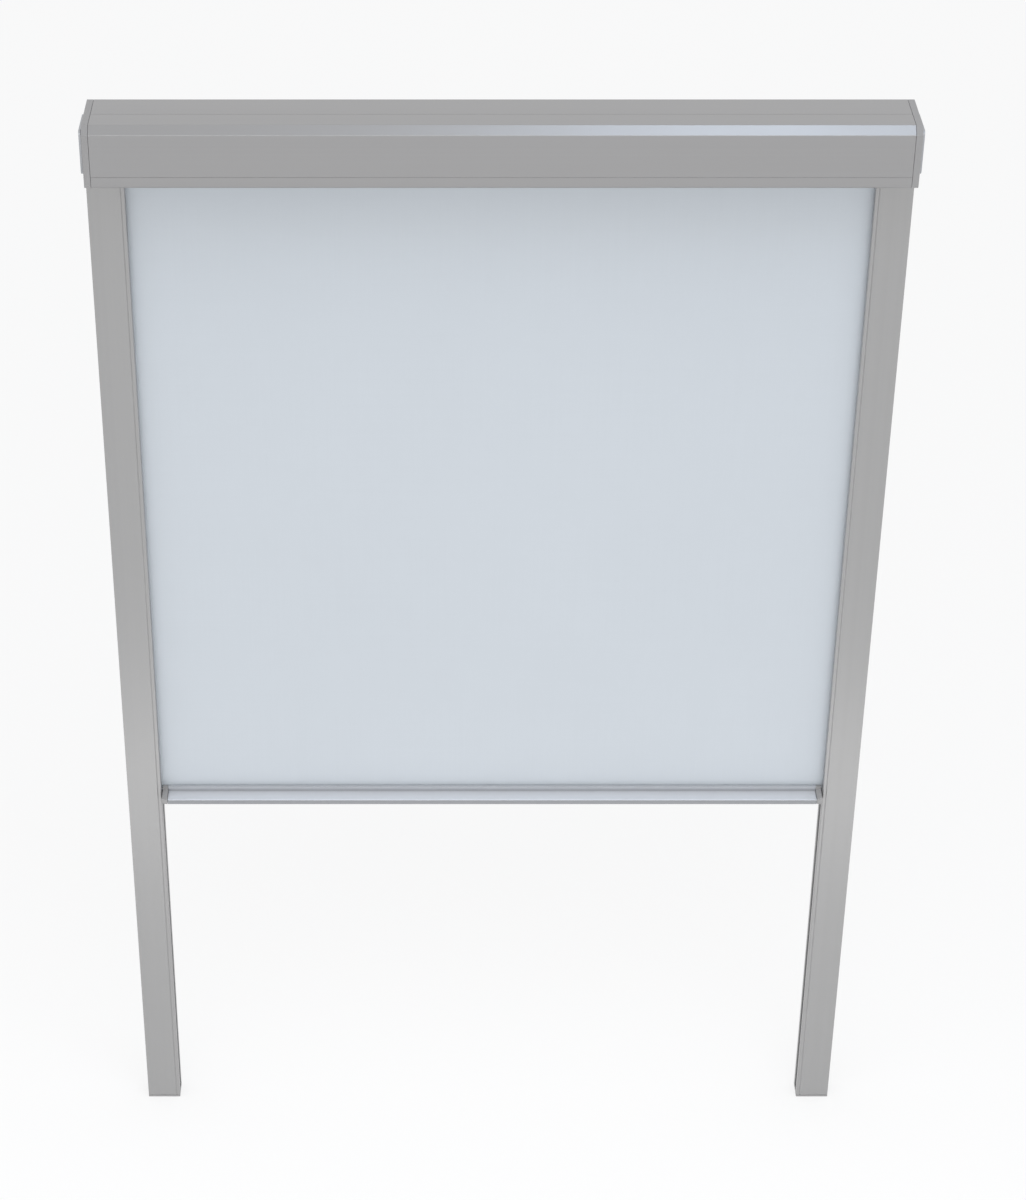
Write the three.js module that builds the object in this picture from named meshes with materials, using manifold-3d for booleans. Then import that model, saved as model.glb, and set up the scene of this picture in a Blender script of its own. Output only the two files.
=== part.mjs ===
// Skylight roller blind: a cassette with a spring roller, two side channels, and a fabric
// panel whose bottom bar slides in the channels.
// Millimetres. +X is right, +Y points to the back, +Z is up. The room side faces -Y.
// The origin is the centre of the cassette's flat back.
import * as THREE from 'three';
import { mergeVertices } from 'three/addons/utils/BufferGeometryUtils.js';
import Module from 'manifold-3d';

const wasm = await Module();
wasm.setup();

// Driving dimensions of the whole blind
const openingWidth = 640;
const blindHeight = 1004;
const cassetteHeight = 50;
const cassetteDepth = 54;
const cassetteSideGap = 3;
const channelFaceWidth = 29.5;
const channelDepth = 19;
const barDrop = 595;
const barTravelDown = 329;

// Clearances
const fitGap = 0.3;
const slideGap = 0.6;
const cutOverrun = 1;

// Cassette profiles
const cassetteWall = 1.6;
const shoulderLeg = 6;
const shoulderRadius = 0.6;
const lowerEdgeRadius = 2.4;
const grooveHeight = 9.6;
const grooveHalfWidth = 0.6;
const grooveDepth = 0.6;
const slotRearLip = 5;
const slotWidth = 9;
const slotLipHeight = 5;
const lapDepth = 28;
const lapReach = 7;
const slotBrushHeight = 5;
const slotBrushGap = 0.6;

// Screw ports in the cassette profiles, and the screws in them
const portRadius = 3.1;
const portBore = 1.5;
const portSlitAngle = Math.PI / 3;
const screwShankRadius = 1.15;
const screwHeadRadius = 2.7;
const screwHeadHeight = 1.7;
const screwLength = 16;
const screwDriveWidth = 0.7;
const screwDriveDepth = 0.8;
const screwDriveShare = 0.6;
const screwHeadSink = 0.2;

// Cassette end caps
const capPlate = 5;
const capSpigot = 6;
const capSpigotWall = 1.5;
const capBossRadius = 7;
const capBlindWall = 1;
const capPegWidth = 2.6;
const capPegDepth = 6;
const capPegHeight = 4;

// Mounting brackets in the gap beside the cassette
const bracketSheet = 1.6;
const bracketDepth = 34;
const bracketHeight = 36;
const bracketSetback = 10;
const bracketCornerRadius = 3;
const bracketHoleRadius = 2.2;
const bracketHoleSpacing = 22;
const bracketTabWidth = 14;
const bracketTabReach = 4.6;
const bracketTabInset = 5;

// Roller
const tubeRadius = 14;
const tubeWall = 1.2;
const tubeMargin = 2.5;
const kederSlotWidth = 2.6;
const kederSlotDepth = 2.6;
const kederWall = 1.2;
const kederAngle = 2.2;
const plugLength = 22;
const plugFlange = 1.5;
const plugBore = 5.3;
const bushLength = 18;
const axleRadius = 3;
const idlePinReach = 26;
const shaftCornerRadius = 3.5;

// Spring motor
const springRadius = 8;
const springWireRadius = 0.7;
const springLength = 150;
const springTurns = 34;
const collarRadius = 9.4;
const collarLength = 8;
const seatRadius = 6.7;
const seatLength = 7;
const driverLength = 16;

// Fabric
const fabricThickness = 0.5;
const fabricCloth = 0.36;
const fabricGrip = 9.5;
const fabricSpare = 150;
const fabricTuck = 1.5;

// Side channels
const channelWall = 1.3;
const channelSlotWidth = 8.6;
const channelFlange = 6.5;
const channelNoseRadius = 1.1;
const channelEdgeRadius = 0.8;
const channelLineInset = 3.2;
const channelLineHalfWidth = 0.5;
const channelLineDepth = 0.45;
const clipWall = 1.2;
const clipLength = 4.5;
const clipBarb = 0.25;
const sealWidth = 5;
const sealHeight = 1.9;
const sealBacking = 0.7;
const channelPlugDepth = 7.7;
const footPlate = 2;
const footPlugHeight = 5;
const footPlugWall = 1.5;

// Bottom bar
const barBodyDepth = 6.4;
const barBodyHeight = 16;
const barWall = 1.3;
const barBead = 0.7;
const barBeadHeight = 2.4;
const barEdgeRadius = 0.5;
const ledgeDrop = 5.2;
const ledgeReach = 13;
const ledgeSag = 0.9;
const ledgeSheet = 1.5;
const lipHeight = 4.7;
const lipRadius = 0.7;
const hemSlotWidth = 1.2;
const hemPocketRadius = 2;
const hemPocketDrop = 3.7;
const hemRodRadius = 1.55;
const chamberTopDrop = 7.1;
const chamberHeight = 6.4;
const barSealHeight = 4;
const barSealWidth = 4;
const barSealRecess = 1.2;
const barCapPlate = 4.6;
const barEndGap = 0.7;
const barSpigotLength = 12;
const gliderNeck = 3;
const gliderDrop = 2.2;
const gliderHeight = 18.8;
const gliderStandoff = 4;
const gliderCornerRadius = 1.5;

// Brake in each glider
const padWidth = 7;
const padHeight = 11;
const padThickness = 5;
const padSetback = 2;
const brakePocketDepth = 11;
const brakeSpringRadius = 2;
const brakeWireRadius = 0.3;
const brakeTurns = 5;

// Places that follow from the sizes above
const halfOpening = openingWidth / 2;
const cassetteTop = cassetteHeight / 2;
const cassetteBottom = -cassetteHeight / 2;
const cassetteFront = -cassetteDepth;
const capOuter = halfOpening - cassetteSideGap;
const capInner = capOuter - capPlate;
const profileHalf = capInner - fitGap;
const slotRear = -slotRearLip;
const slotFront = slotRear - slotWidth;
const channelInner = halfOpening - channelFaceWidth;
const channelTop = cassetteBottom - fitGap;
const blindBottom = cassetteTop - blindHeight;
const channelBottom = blindBottom + footPlate + fitGap;
const fabricPlane = -channelDepth / 2;
const fabricHalf = channelInner + fabricGrip;
const tubeHalf = fabricHalf + tubeMargin;
const storedFabric = barTravelDown + fabricSpare;
const rollRadius = Math.sqrt(tubeRadius ** 2 + (storedFabric * fabricCloth) / Math.PI);
const rollerY = fabricPlane - fabricThickness / 2 - fitGap - rollRadius;
const rollerZ = (cassetteTop + cassetteBottom) / 2;
const barTop = cassetteBottom - barDrop;
const barRear = fabricPlane + barBodyDepth / 2;
const barFront = fabricPlane - barBodyDepth / 2;
const ledgeFront = barFront - ledgeReach;
const barCapOuter = channelInner - barEndGap;
const barHalf = barCapOuter - barCapPlate - fitGap;

const satinAluminium = { color: 0xa7a6a6, roughness: 0.42, metalness: 0.75 };
const greyPlastic = { color: 0xa09f9d, roughness: 0.55, metalness: 0 };
const darkPlastic = { color: 0x55565a, roughness: 0.6, metalness: 0 };
const whiteNylon = { color: 0xe4e3de, roughness: 0.5, metalness: 0 };
const zincSteel = { color: 0xb3b5b8, roughness: 0.35, metalness: 0.9 };
const springSteel = { color: 0x7f8388, roughness: 0.3, metalness: 0.95 };
const blindFabric = { color: 0xc9ced2, roughness: 0.85, metalness: 0 };
const greyPile = { color: 0x8d8d8f, roughness: 0.95, metalness: 0 };
const feltPad = { color: 0x4b4a48, roughness: 1, metalness: 0 };

// Solids

function stripped(geometry) {
  const bare = geometry.clone();
  bare.deleteAttribute('normal');
  bare.deleteAttribute('uv');
  return bare;
}

function solidOf(geometry) {
  const merged = mergeVertices(stripped(geometry));
  const mesh = new wasm.Mesh({
    numProp: 3,
    vertProperties: new Float32Array(merged.attributes.position.array),
    triVerts: new Uint32Array(merged.index.array),
  });
  return new wasm.Manifold(mesh);
}

function geometryOf(solid) {
  const { vertProperties, triVerts } = solid.getMesh();
  const geometry = new THREE.BufferGeometry();
  geometry.setAttribute('position', new THREE.BufferAttribute(new Float32Array(vertProperties), 3));
  geometry.setIndex(new THREE.BufferAttribute(new Uint32Array(triVerts), 1));
  geometry.computeVertexNormals();
  return geometry;
}

function join(first, ...others) {
  return geometryOf(others.reduce((solid, other) => solid.add(solidOf(other)), solidOf(first)));
}

function cut(first, ...tools) {
  return geometryOf(tools.reduce((solid, tool) => solid.subtract(solidOf(tool)), solidOf(first)));
}

// A copy on the other side of the middle plane, with its faces still pointing out.
function mirrored(geometry) {
  const copy = mergeVertices(stripped(geometry)).scale(-1, 1, 1);
  const index = copy.index.array;
  for (let i = 0; i < index.length; i += 3) {
    [index[i + 1], index[i + 2]] = [index[i + 2], index[i + 1]];
  }
  copy.computeVertexNormals();
  return copy;
}

// Profiles

function outline(points) {
  return new THREE.Shape(points);
}

function roundCorner(before, corner, after, radius, steps) {
  const back = before.clone().sub(corner).normalize();
  const ahead = after.clone().sub(corner).normalize();
  const half = Math.acos(THREE.MathUtils.clamp(back.dot(ahead), -1, 1)) / 2;
  const centre = back.clone().add(ahead).normalize().multiplyScalar(radius / Math.sin(half)).add(corner);
  const reach = radius / Math.tan(half);
  const start = back.multiplyScalar(reach).add(corner).sub(centre);
  const end = ahead.multiplyScalar(reach).add(corner).sub(centre);
  const sweep = Math.atan2(start.cross(end), start.dot(end));
  const first = start.angle();
  return Array.from({ length: steps + 1 }, (_, i) => {
    const angle = first + (sweep * i) / steps;
    return new THREE.Vector2(Math.cos(angle), Math.sin(angle)).multiplyScalar(radius).add(centre);
  });
}

// Points along corners given as [across, up, radius]; a corner without a radius stays sharp.
function path(corners, closed = false, steps = 3) {
  const points = corners.map(([across, up]) => new THREE.Vector2(across, up));
  const count = points.length;
  return points.flatMap((point, i) => {
    const radius = corners[i][2] ?? 0;
    const isEnd = !closed && (i === 0 || i === count - 1);
    if (radius === 0 || isEnd) {
      return [point];
    }
    return roundCorner(points[(i + count - 1) % count], point, points[(i + 1) % count], radius, steps);
  });
}

// The corners moved sideways, to the left of the path for a positive distance. Rounds stay concentric.
function offset(corners, distance, closed = false) {
  const points = corners.map(([across, up]) => new THREE.Vector2(across, up));
  const count = points.length;
  return points.map((point, i) => {
    const isFirst = !closed && i === 0;
    const isLast = !closed && i === count - 1;
    const before = points[(i + count - 1) % count];
    const after = points[(i + 1) % count];
    const into = (isFirst ? after.clone().sub(point) : point.clone().sub(before)).normalize();
    const out = (isLast ? into.clone() : after.clone().sub(point)).normalize();
    const normal = new THREE.Vector2(-into.y - out.y, into.x + out.x).normalize();
    const stretch = distance / (normal.x * -into.y + normal.y * into.x);
    const moved = normal.multiplyScalar(stretch).add(point);
    const radius = corners[i][2] ?? 0;
    const turned = radius - Math.sign(into.cross(out)) * distance;
    return [moved.x, moved.y, radius > 0 ? Math.max(turned, 0) : 0];
  });
}

// A wall of even thickness to the left of a path.
function wallShape(corners, wall) {
  return outline([...path(corners), ...path(offset(corners, wall)).reverse()]);
}

function rectangle(left, bottom, right, top, radius = 0) {
  const corners = [
    [left, bottom, radius],
    [right, bottom, radius],
    [right, top, radius],
    [left, top, radius],
  ];
  return outline(path(corners, true));
}

// A groove's section, cut to the right into a face at x = 0.
function veeGroove(depth, halfWidth) {
  const spread = (halfWidth * (depth + cutOverrun)) / depth;
  return outline([
    new THREE.Vector2(depth, 0),
    new THREE.Vector2(-cutOverrun, spread),
    new THREE.Vector2(-cutOverrun, -spread),
  ]);
}

function disc(radius, hole = 0) {
  const shape = new THREE.Shape().absarc(0, 0, radius, 0, Math.PI * 2);
  if (hole > 0) {
    shape.holes.push(new THREE.Path().absarc(0, 0, hole, 0, Math.PI * 2));
  }
  return shape;
}

// Extrusions

const sidewaysBasis = new THREE.Matrix4().makeBasis(
  new THREE.Vector3(0, 1, 0),
  new THREE.Vector3(0, 0, 1),
  new THREE.Vector3(1, 0, 0),
);

// A shape drawn with Y across and Z up, extruded along X.
function alongX(shape, from, to, curveSegments = 12) {
  const options = { depth: to - from, bevelEnabled: false, curveSegments };
  return new THREE.ExtrudeGeometry(shape, options).applyMatrix4(sidewaysBasis).translate(from, 0, 0);
}

// A shape drawn with X across and Y up, extruded along Z.
function alongZ(shape, from, to, curveSegments = 12) {
  const options = { depth: to - from, bevelEnabled: false, curveSegments };
  return new THREE.ExtrudeGeometry(shape, options).translate(0, 0, from);
}

function block(x0, y0, z0, x1, y1, z1) {
  const geometry = new THREE.BoxGeometry(Math.abs(x1 - x0), Math.abs(y1 - y0), Math.abs(z1 - z0));
  return geometry.translate((x0 + x1) / 2, (y0 + y1) / 2, (z0 + z1) / 2);
}

// A round or six-sided bar along X, centred on (y, z).
function bar(radius, from, to, y = 0, z = 0, sides = 24) {
  return alongX(polygon(radius, sides), from, to).translate(0, y, z);
}

function polygon(radius, sides) {
  return outline(Array.from({ length: sides }, (_, i) => {
    const angle = (2 * Math.PI * i) / sides;
    return new THREE.Vector2(radius * Math.cos(angle), radius * Math.sin(angle));
  }));
}

// Cassette

function cassetteSilhouette(inset) {
  const corners = [
    [0, cassetteBottom, shoulderRadius],
    [0, cassetteTop, shoulderRadius],
    [cassetteFront + shoulderLeg, cassetteTop, shoulderRadius],
    [cassetteFront, cassetteTop - shoulderLeg, shoulderRadius],
    [cassetteFront, cassetteBottom, lowerEdgeRadius],
  ];
  return outline(path(offset(corners, inset, true), true));
}

function screwPorts() {
  const reach = cassetteWall + portRadius - fitGap;
  return [
    { y: -reach, z: cassetteTop - reach, facing: (5 * Math.PI) / 4, on: 'back' },
    { y: -reach, z: cassetteBottom + reach, facing: (3 * Math.PI) / 4, on: 'back' },
    { y: cassetteFront + reach, z: cassetteBottom + reach, facing: Math.PI / 4, on: 'cover' },
  ];
}

function portRing({ y, z, facing }) {
  const start = facing + portSlitAngle / 2;
  const end = facing - portSlitAngle / 2 + Math.PI * 2;
  const shape = new THREE.Shape();
  shape.absarc(0, 0, portRadius, start, end);
  shape.absarc(0, 0, portBore, end, start, true);
  return alongX(shape, -profileHalf, profileHalf, 8).translate(0, y, z);
}

function withPorts(profile, side) {
  return join(profile, ...screwPorts().filter((port) => port.on === side).map(portRing));
}

function cassetteBack() {
  const lapTop = cassetteTop - cassetteWall - fitGap;
  const line = [
    [slotRear, cassetteBottom],
    [0, cassetteBottom, shoulderRadius],
    [0, cassetteTop, shoulderRadius],
    [-lapDepth, cassetteTop],
    [-lapDepth, lapTop],
    [-lapDepth - lapReach, lapTop],
  ];
  return withPorts(alongX(wallShape(line, cassetteWall), -profileHalf, profileHalf), 'back');
}

function cassetteCover() {
  const line = [
    [-lapDepth - fitGap, cassetteTop],
    [cassetteFront + shoulderLeg, cassetteTop, shoulderRadius],
    [cassetteFront, cassetteTop - shoulderLeg, shoulderRadius],
    [cassetteFront, cassetteBottom, lowerEdgeRadius],
    [slotFront, cassetteBottom],
    [slotFront, cassetteBottom + slotLipHeight],
  ];
  const wall = alongX(wallShape(line, cassetteWall), -profileHalf, profileHalf);
  const long = profileHalf + cutOverrun;
  const groove = alongX(veeGroove(grooveDepth, grooveHalfWidth), -long, long);
  return withPorts(cut(wall, groove.translate(0, cassetteFront, cassetteBottom + grooveHeight)), 'cover');
}

function slotBrush() {
  const rear = fabricPlane - fabricThickness / 2 - slotBrushGap;
  const front = slotFront + fitGap;
  const low = cassetteBottom + fitGap;
  return block(-tubeHalf, front, low, tubeHalf, rear, low + slotBrushHeight);
}

// Everything that makes room in an end cap's spigot for the profiles' ports and lap.
function spigotClearances() {
  const from = capInner - capSpigot - cutOverrun;
  const ports = screwPorts().map(({ y, z }) => bar(portRadius + fitGap, from, capInner, y, z));
  const lapBottom = cassetteTop - 2 * cassetteWall - 2 * fitGap;
  const tongueEnd = -lapDepth - lapReach - fitGap;
  const lapEnd = -lapDepth + cassetteWall + fitGap;
  const lap = block(from, tongueEnd, lapBottom, capInner, lapEnd, cassetteTop);
  const lipEnd = slotFront - cassetteWall - fitGap;
  const lipTop = cassetteBottom + slotLipHeight + fitGap;
  const lip = block(from, lipEnd, cassetteBottom, capInner, slotFront + fitGap, lipTop);
  return [...ports, lap, lip];
}

function capSpigotRing() {
  const outer = cassetteWall + fitGap;
  const shape = cassetteSilhouette(outer);
  shape.holes.push(new THREE.Path(cassetteSilhouette(outer + capSpigotWall).getPoints()));
  return cut(alongX(shape, capInner - capSpigot, capInner + fitGap), ...spigotClearances());
}

function screwHole({ y, z }) {
  const shaft = bar(screwShankRadius + fitGap, capInner - cutOverrun, capOuter + cutOverrun, y, z, 12);
  const depth = screwHeadHeight + screwHeadSink + fitGap;
  return [shaft, bar(screwHeadRadius + fitGap, capOuter - depth, capOuter + cutOverrun, y, z, 16)];
}

function bracketTabPlace() {
  const z = bracketHeight / 2 - bracketTabInset;
  const y = -bracketSetback - bracketDepth / 2;
  return { y, z };
}

function bracketTabSlot() {
  const { y, z } = bracketTabPlace();
  const half = bracketTabWidth / 2 + fitGap;
  const reach = halfOpening - bracketSheet - bracketTabReach - fitGap;
  return block(reach, y - half, z - fitGap, capOuter + cutOverrun, y + half, z + bracketSheet + fitGap);
}

function pegPocket() {
  const { x, y } = pegPlace();
  const halfWidth = capPegWidth / 2 + fitGap;
  const halfDepth = capPegDepth / 2 + fitGap;
  const top = cassetteBottom + capPegHeight + fitGap;
  return block(x - halfWidth, y - halfDepth, cassetteBottom - cutOverrun, x + halfWidth, y + halfDepth, top);
}

function pegPlace() {
  return { x: (capInner + capOuter) / 2, y: fabricPlane };
}

// The right-hand end cap; sides is 6 where it holds the fixed shaft, 24 for the round idle pin.
function endCap(socketRadius, sides) {
  const bossEnd = tubeHalf + plugFlange + slideGap;
  const plate = alongX(cassetteSilhouette(0), capInner, capOuter);
  const boss = bar(capBossRadius, bossEnd, capInner + fitGap, rollerY, rollerZ);
  const socket = bar(socketRadius, bossEnd - cutOverrun, capOuter - capBlindWall, rollerY, rollerZ, sides);
  const body = join(plate, capSpigotRing(), boss);
  return cut(body, socket, ...screwPorts().flatMap(screwHole), bracketTabSlot(), pegPocket());
}

function capScrew({ y, z }) {
  const top = capOuter - screwHeadSink;
  const profile = [
    new THREE.Vector2(0, 0),
    new THREE.Vector2(screwHeadRadius, 0),
    new THREE.Vector2(screwHeadRadius, -screwHeadHeight / 2),
    new THREE.Vector2(screwShankRadius, -screwHeadHeight),
    new THREE.Vector2(screwShankRadius, -screwLength + screwShankRadius),
    new THREE.Vector2(0, -screwLength),
  ].reverse();
  const screw = new THREE.LatheGeometry(profile, 12).rotateZ(-Math.PI / 2).translate(top, y, z);
  const half = screwDriveWidth / 2;
  const reach = screwHeadRadius * screwDriveShare;
  const bottom = top - screwDriveDepth;
  const slots = [
    block(bottom, y - half, z - reach, top + cutOverrun, y + half, z + reach),
    block(bottom, y - reach, z - half, top + cutOverrun, y + reach, z + half),
  ];
  return cut(screw, ...slots);
}

function bracket() {
  const { y, z } = bracketTabPlace();
  const rear = -bracketSetback;
  const front = rear - bracketDepth;
  const half = bracketHeight / 2;
  const inner = halfOpening - bracketSheet;
  const plate = alongX(rectangle(front, -half, rear, half, bracketCornerRadius), inner, halfOpening);
  const holes = [-1, 1].map((side) => {
    const place = y + (side * bracketHoleSpacing) / 2;
    return bar(bracketHoleRadius, inner - cutOverrun, halfOpening + cutOverrun, place, 0, 16);
  });
  const tabHalf = bracketTabWidth / 2;
  const tabEnd = inner + bracketSheet / 2;
  const tab = block(inner - bracketTabReach, y - tabHalf, z, tabEnd, y + tabHalf, z + bracketSheet);
  return cut(join(plate, tab), ...holes);
}

// Roller, drawn around its own axis

function kederBlock(halfWidth, inner, outer, from, to) {
  const geometry = block(from, -halfWidth, inner, to, halfWidth, outer);
  return geometry.rotateX(kederAngle);
}

function rollerTube() {
  const floor = tubeRadius - kederSlotDepth;
  const ring = alongX(disc(tubeRadius, tubeRadius - tubeWall), -tubeHalf, tubeHalf, 20);
  const gutterHalf = kederSlotWidth / 2 + kederWall;
  const gutter = kederBlock(gutterHalf, floor - kederWall, tubeRadius - tubeWall / 2, -tubeHalf, tubeHalf);
  const long = tubeHalf + cutOverrun;
  const slot = kederBlock(kederSlotWidth / 2, floor, tubeRadius + cutOverrun, -long, long);
  return cut(join(ring, gutter), slot);
}

function tubeKeder() {
  const half = kederSlotWidth / 2 - fitGap;
  const floor = tubeRadius - kederSlotDepth + fitGap;
  return kederBlock(half, floor, floor + 2 * half, -fabricHalf, fabricHalf);
}

function fabricRoll() {
  return alongX(disc(rollRadius, tubeRadius + fitGap), -fabricHalf, fabricHalf, 24);
}

function kederClearance(from, to) {
  const floor = tubeRadius - kederSlotDepth - kederWall - fitGap;
  return kederBlock(kederSlotWidth / 2 + kederWall + fitGap, floor, tubeRadius, from, to);
}

// A plug in the right-hand end of the tube, with a flange that closes it.
function tubePlug() {
  const inner = tubeHalf - plugLength;
  const body = bar(tubeRadius - tubeWall - fitGap, inner, tubeHalf + fitGap + plugFlange / 2, 0, 0, 32);
  const keyed = cut(body, kederClearance(inner - cutOverrun, tubeHalf + fitGap));
  const flange = bar(tubeRadius, tubeHalf + fitGap, tubeHalf + plugFlange, 0, 0, 32);
  const bore = bar(plugBore, inner - cutOverrun, tubeHalf + plugFlange + cutOverrun);
  return cut(join(keyed, flange), bore);
}

// A bush in the right-hand plug; its bore fits the fixed shaft or the idle pin.
function plugBush(boreRadius, sides) {
  const outer = plugBore - fitGap;
  const end = tubeHalf + plugFlange;
  const sleeve = bar(outer, end - bushLength, end);
  return cut(sleeve, bar(boreRadius, end - bushLength - cutOverrun, end + cutOverrun, 0, 0, sides));
}

function idlePin() {
  const outer = capOuter - capBlindWall - fitGap;
  return bar(axleRadius, outer - idlePinReach, outer);
}

function springPlaces() {
  const collarOuter = tubeHalf - plugLength - slideGap;
  const springOuter = collarOuter - collarLength - fitGap;
  const driverOuter = springOuter - springLength - fitGap;
  return { collarOuter, springOuter, driverOuter };
}

function hexShaft() {
  const { driverOuter } = springPlaces();
  return bar(shaftCornerRadius, driverOuter - driverLength, capOuter - capBlindWall - fitGap, 0, 0, 6);
}

function springCollar() {
  const { collarOuter } = springPlaces();
  const inner = collarOuter - collarLength;
  const rim = bar(collarRadius, inner, collarOuter);
  const seat = bar(seatRadius, inner - seatLength, inner + fitGap);
  const long = inner - seatLength - cutOverrun;
  const bore = bar(shaftCornerRadius + fitGap, long, collarOuter + cutOverrun, 0, 0, 6);
  return cut(join(rim, seat), bore);
}

function springDriver() {
  const { driverOuter } = springPlaces();
  const inner = driverOuter - driverLength;
  const rim = bar(tubeRadius - tubeWall - fitGap, inner, driverOuter, 0, 0, 32);
  const seat = bar(seatRadius, driverOuter - fitGap, driverOuter + seatLength);
  const bore = bar(shaftCornerRadius + slideGap, inner - cutOverrun, driverOuter + seatLength + cutOverrun);
  return cut(join(rim, seat), bore, kederClearance(inner - cutOverrun, driverOuter + cutOverrun));
}

// A coil around X, as one closed tube.
function coil(radius, wireRadius, length, turns, stepsPerTurn = 8, sides = 5) {
  const steps = turns * stepsPerTurn;
  const run = length - 2 * wireRadius;
  const positions = [];
  const index = [];
  for (let i = 0; i <= steps; i += 1) {
    const angle = (2 * Math.PI * turns * i) / steps;
    const x = wireRadius + (run * i) / steps;
    for (let j = 0; j < sides; j += 1) {
      const around = (2 * Math.PI * j) / sides;
      const reach = radius + wireRadius * Math.cos(around);
      positions.push(x + wireRadius * Math.sin(around), reach * Math.cos(angle), reach * Math.sin(angle));
    }
  }
  for (let i = 0; i < steps; i += 1) {
    for (let j = 0; j < sides; j += 1) {
      const a = i * sides + j;
      const b = i * sides + ((j + 1) % sides);
      index.push(a, a + sides, b, b, a + sides, b + sides);
    }
  }
  const last = steps * sides;
  for (let j = 1; j < sides - 1; j += 1) {
    index.push(0, j, j + 1);
    index.push(last, last + j + 1, last + j);
  }
  const geometry = new THREE.BufferGeometry();
  geometry.setAttribute('position', new THREE.Float32BufferAttribute(positions, 3));
  geometry.setIndex(index);
  geometry.computeVertexNormals();
  return geometry;
}

function torsionSpring() {
  const { springOuter } = springPlaces();
  return coil(springRadius, springWireRadius, springLength, springTurns)
    .translate(springOuter - springLength, 0, 0);
}

// Fabric panel between the roller and the bar

function fabricPanel() {
  const half = fabricThickness / 2;
  const bottom = barTop - fabricTuck;
  return block(-fabricHalf, fabricPlane - half, bottom, fabricHalf, fabricPlane + half, rollerZ);
}

// Right-hand side channel, drawn in X and Y

function slotEdge(side) {
  return fabricPlane + (side * channelSlotWidth) / 2;
}

function channelBase() {
  const line = [
    [channelInner + channelFlange, slotEdge(1)],
    [channelInner, slotEdge(1)],
    [channelInner, 0, channelEdgeRadius],
    [halfOpening, 0, channelEdgeRadius],
    [halfOpening, -channelDepth + channelWall + fitGap],
  ];
  return alongZ(wallShape(line, -channelWall), channelBottom, channelTop);
}

function channelCover() {
  const face = [
    [channelInner + channelFlange, slotEdge(-1)],
    [channelInner, slotEdge(-1)],
    [channelInner, -channelDepth, channelNoseRadius],
    [halfOpening, -channelDepth],
  ];
  const clipOuter = halfOpening - channelWall - fitGap;
  const clipInner = clipOuter - clipWall;
  const root = -channelDepth + channelWall / 2;
  const tip = -channelDepth + channelWall + clipLength;
  const clip = outline([
    new THREE.Vector2(clipInner, root),
    new THREE.Vector2(clipOuter, root),
    new THREE.Vector2(clipOuter, tip - 2 * clipWall),
    new THREE.Vector2(clipOuter + clipBarb, tip - clipWall),
    new THREE.Vector2(clipOuter, tip),
    new THREE.Vector2(clipInner, tip),
  ]);
  const front = alongZ(wallShape(face, channelWall), channelBottom, channelTop);
  const line = veeGroove(channelLineDepth, channelLineHalfWidth);
  const groove = alongZ(line, channelBottom - cutOverrun, channelTop + cutOverrun).rotateZ(Math.PI / 2);
  const placed = groove.translate(channelInner + channelLineInset, -channelDepth, 0);
  return cut(join(front, alongZ(clip, channelBottom, channelTop)), placed);
}

// A pile seal on the rear (side 1) or front (side -1) flange of the slot.
function pileSeal(side) {
  const seat = slotEdge(side) - side * fitGap;
  const tip = seat - side * sealHeight;
  const shoulder = seat - side * sealBacking;
  const left = channelInner + (channelFlange - sealWidth) / 2;
  const right = left + sealWidth;
  const corners = [
    [left, seat],
    [right, seat],
    [right, shoulder],
    [right - sealBacking, tip],
    [left + sealBacking, tip],
    [left, shoulder],
  ];
  return alongZ(outline(path(side > 0 ? corners.reverse() : corners)), channelBottom, channelTop);
}

// The space inside a channel from a given X on, made smaller all round by an inset.
function channelBore(from, inset) {
  const side = channelWall + fitGap + inset;
  const right = halfOpening - side - clipWall - fitGap;
  return rectangle(from + inset, -channelDepth + side, right, -side, channelEdgeRadius);
}

function channelTopPlug() {
  const { x, y } = pegPlace();
  const core = alongZ(channelBore(fabricHalf + slideGap, 0), channelTop - channelPlugDepth, channelTop);
  const halfWidth = capPegWidth / 2;
  const halfDepth = capPegDepth / 2;
  const bottom = channelTop - capPegHeight;
  const top = cassetteBottom + capPegHeight;
  return join(core, block(x - halfWidth, y - halfDepth, bottom, x + halfWidth, y + halfDepth, top));
}

function channelFoot() {
  const plateTop = blindBottom + footPlate;
  const plate = block(channelInner, -channelDepth, blindBottom, halfOpening, 0, plateTop);
  const from = channelInner + channelFlange + fitGap;
  const ring = channelBore(from, 0);
  ring.holes.push(new THREE.Path(channelBore(from, footPlugWall).getPoints()));
  return join(plate, alongZ(ring, plateTop - footPlate / 2, plateTop + footPlugHeight));
}

// Bottom bar, drawn with its upper edge at Z = 0

function ledgeCurve(steps) {
  const depth = ledgeFront + lipRadius;
  return Array.from({ length: steps + 1 }, (_, i) => {
    const share = i / steps;
    const across = barFront + (depth - barFront) * share;
    return [across, -ledgeDrop - ledgeSag * Math.sin(Math.PI * share)];
  });
}

function hemPocket() {
  const half = hemSlotWidth / 2;
  const angle = Math.asin(half / hemPocketRadius);
  const steps = 10;
  return Array.from({ length: steps + 1 }, (_, i) => {
    const turn = Math.PI / 2 + angle + ((2 * Math.PI - 2 * angle) * i) / steps;
    const across = fabricPlane + hemPocketRadius * Math.cos(turn);
    return [across, -hemPocketDrop + hemPocketRadius * Math.sin(turn)];
  });
}

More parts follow.
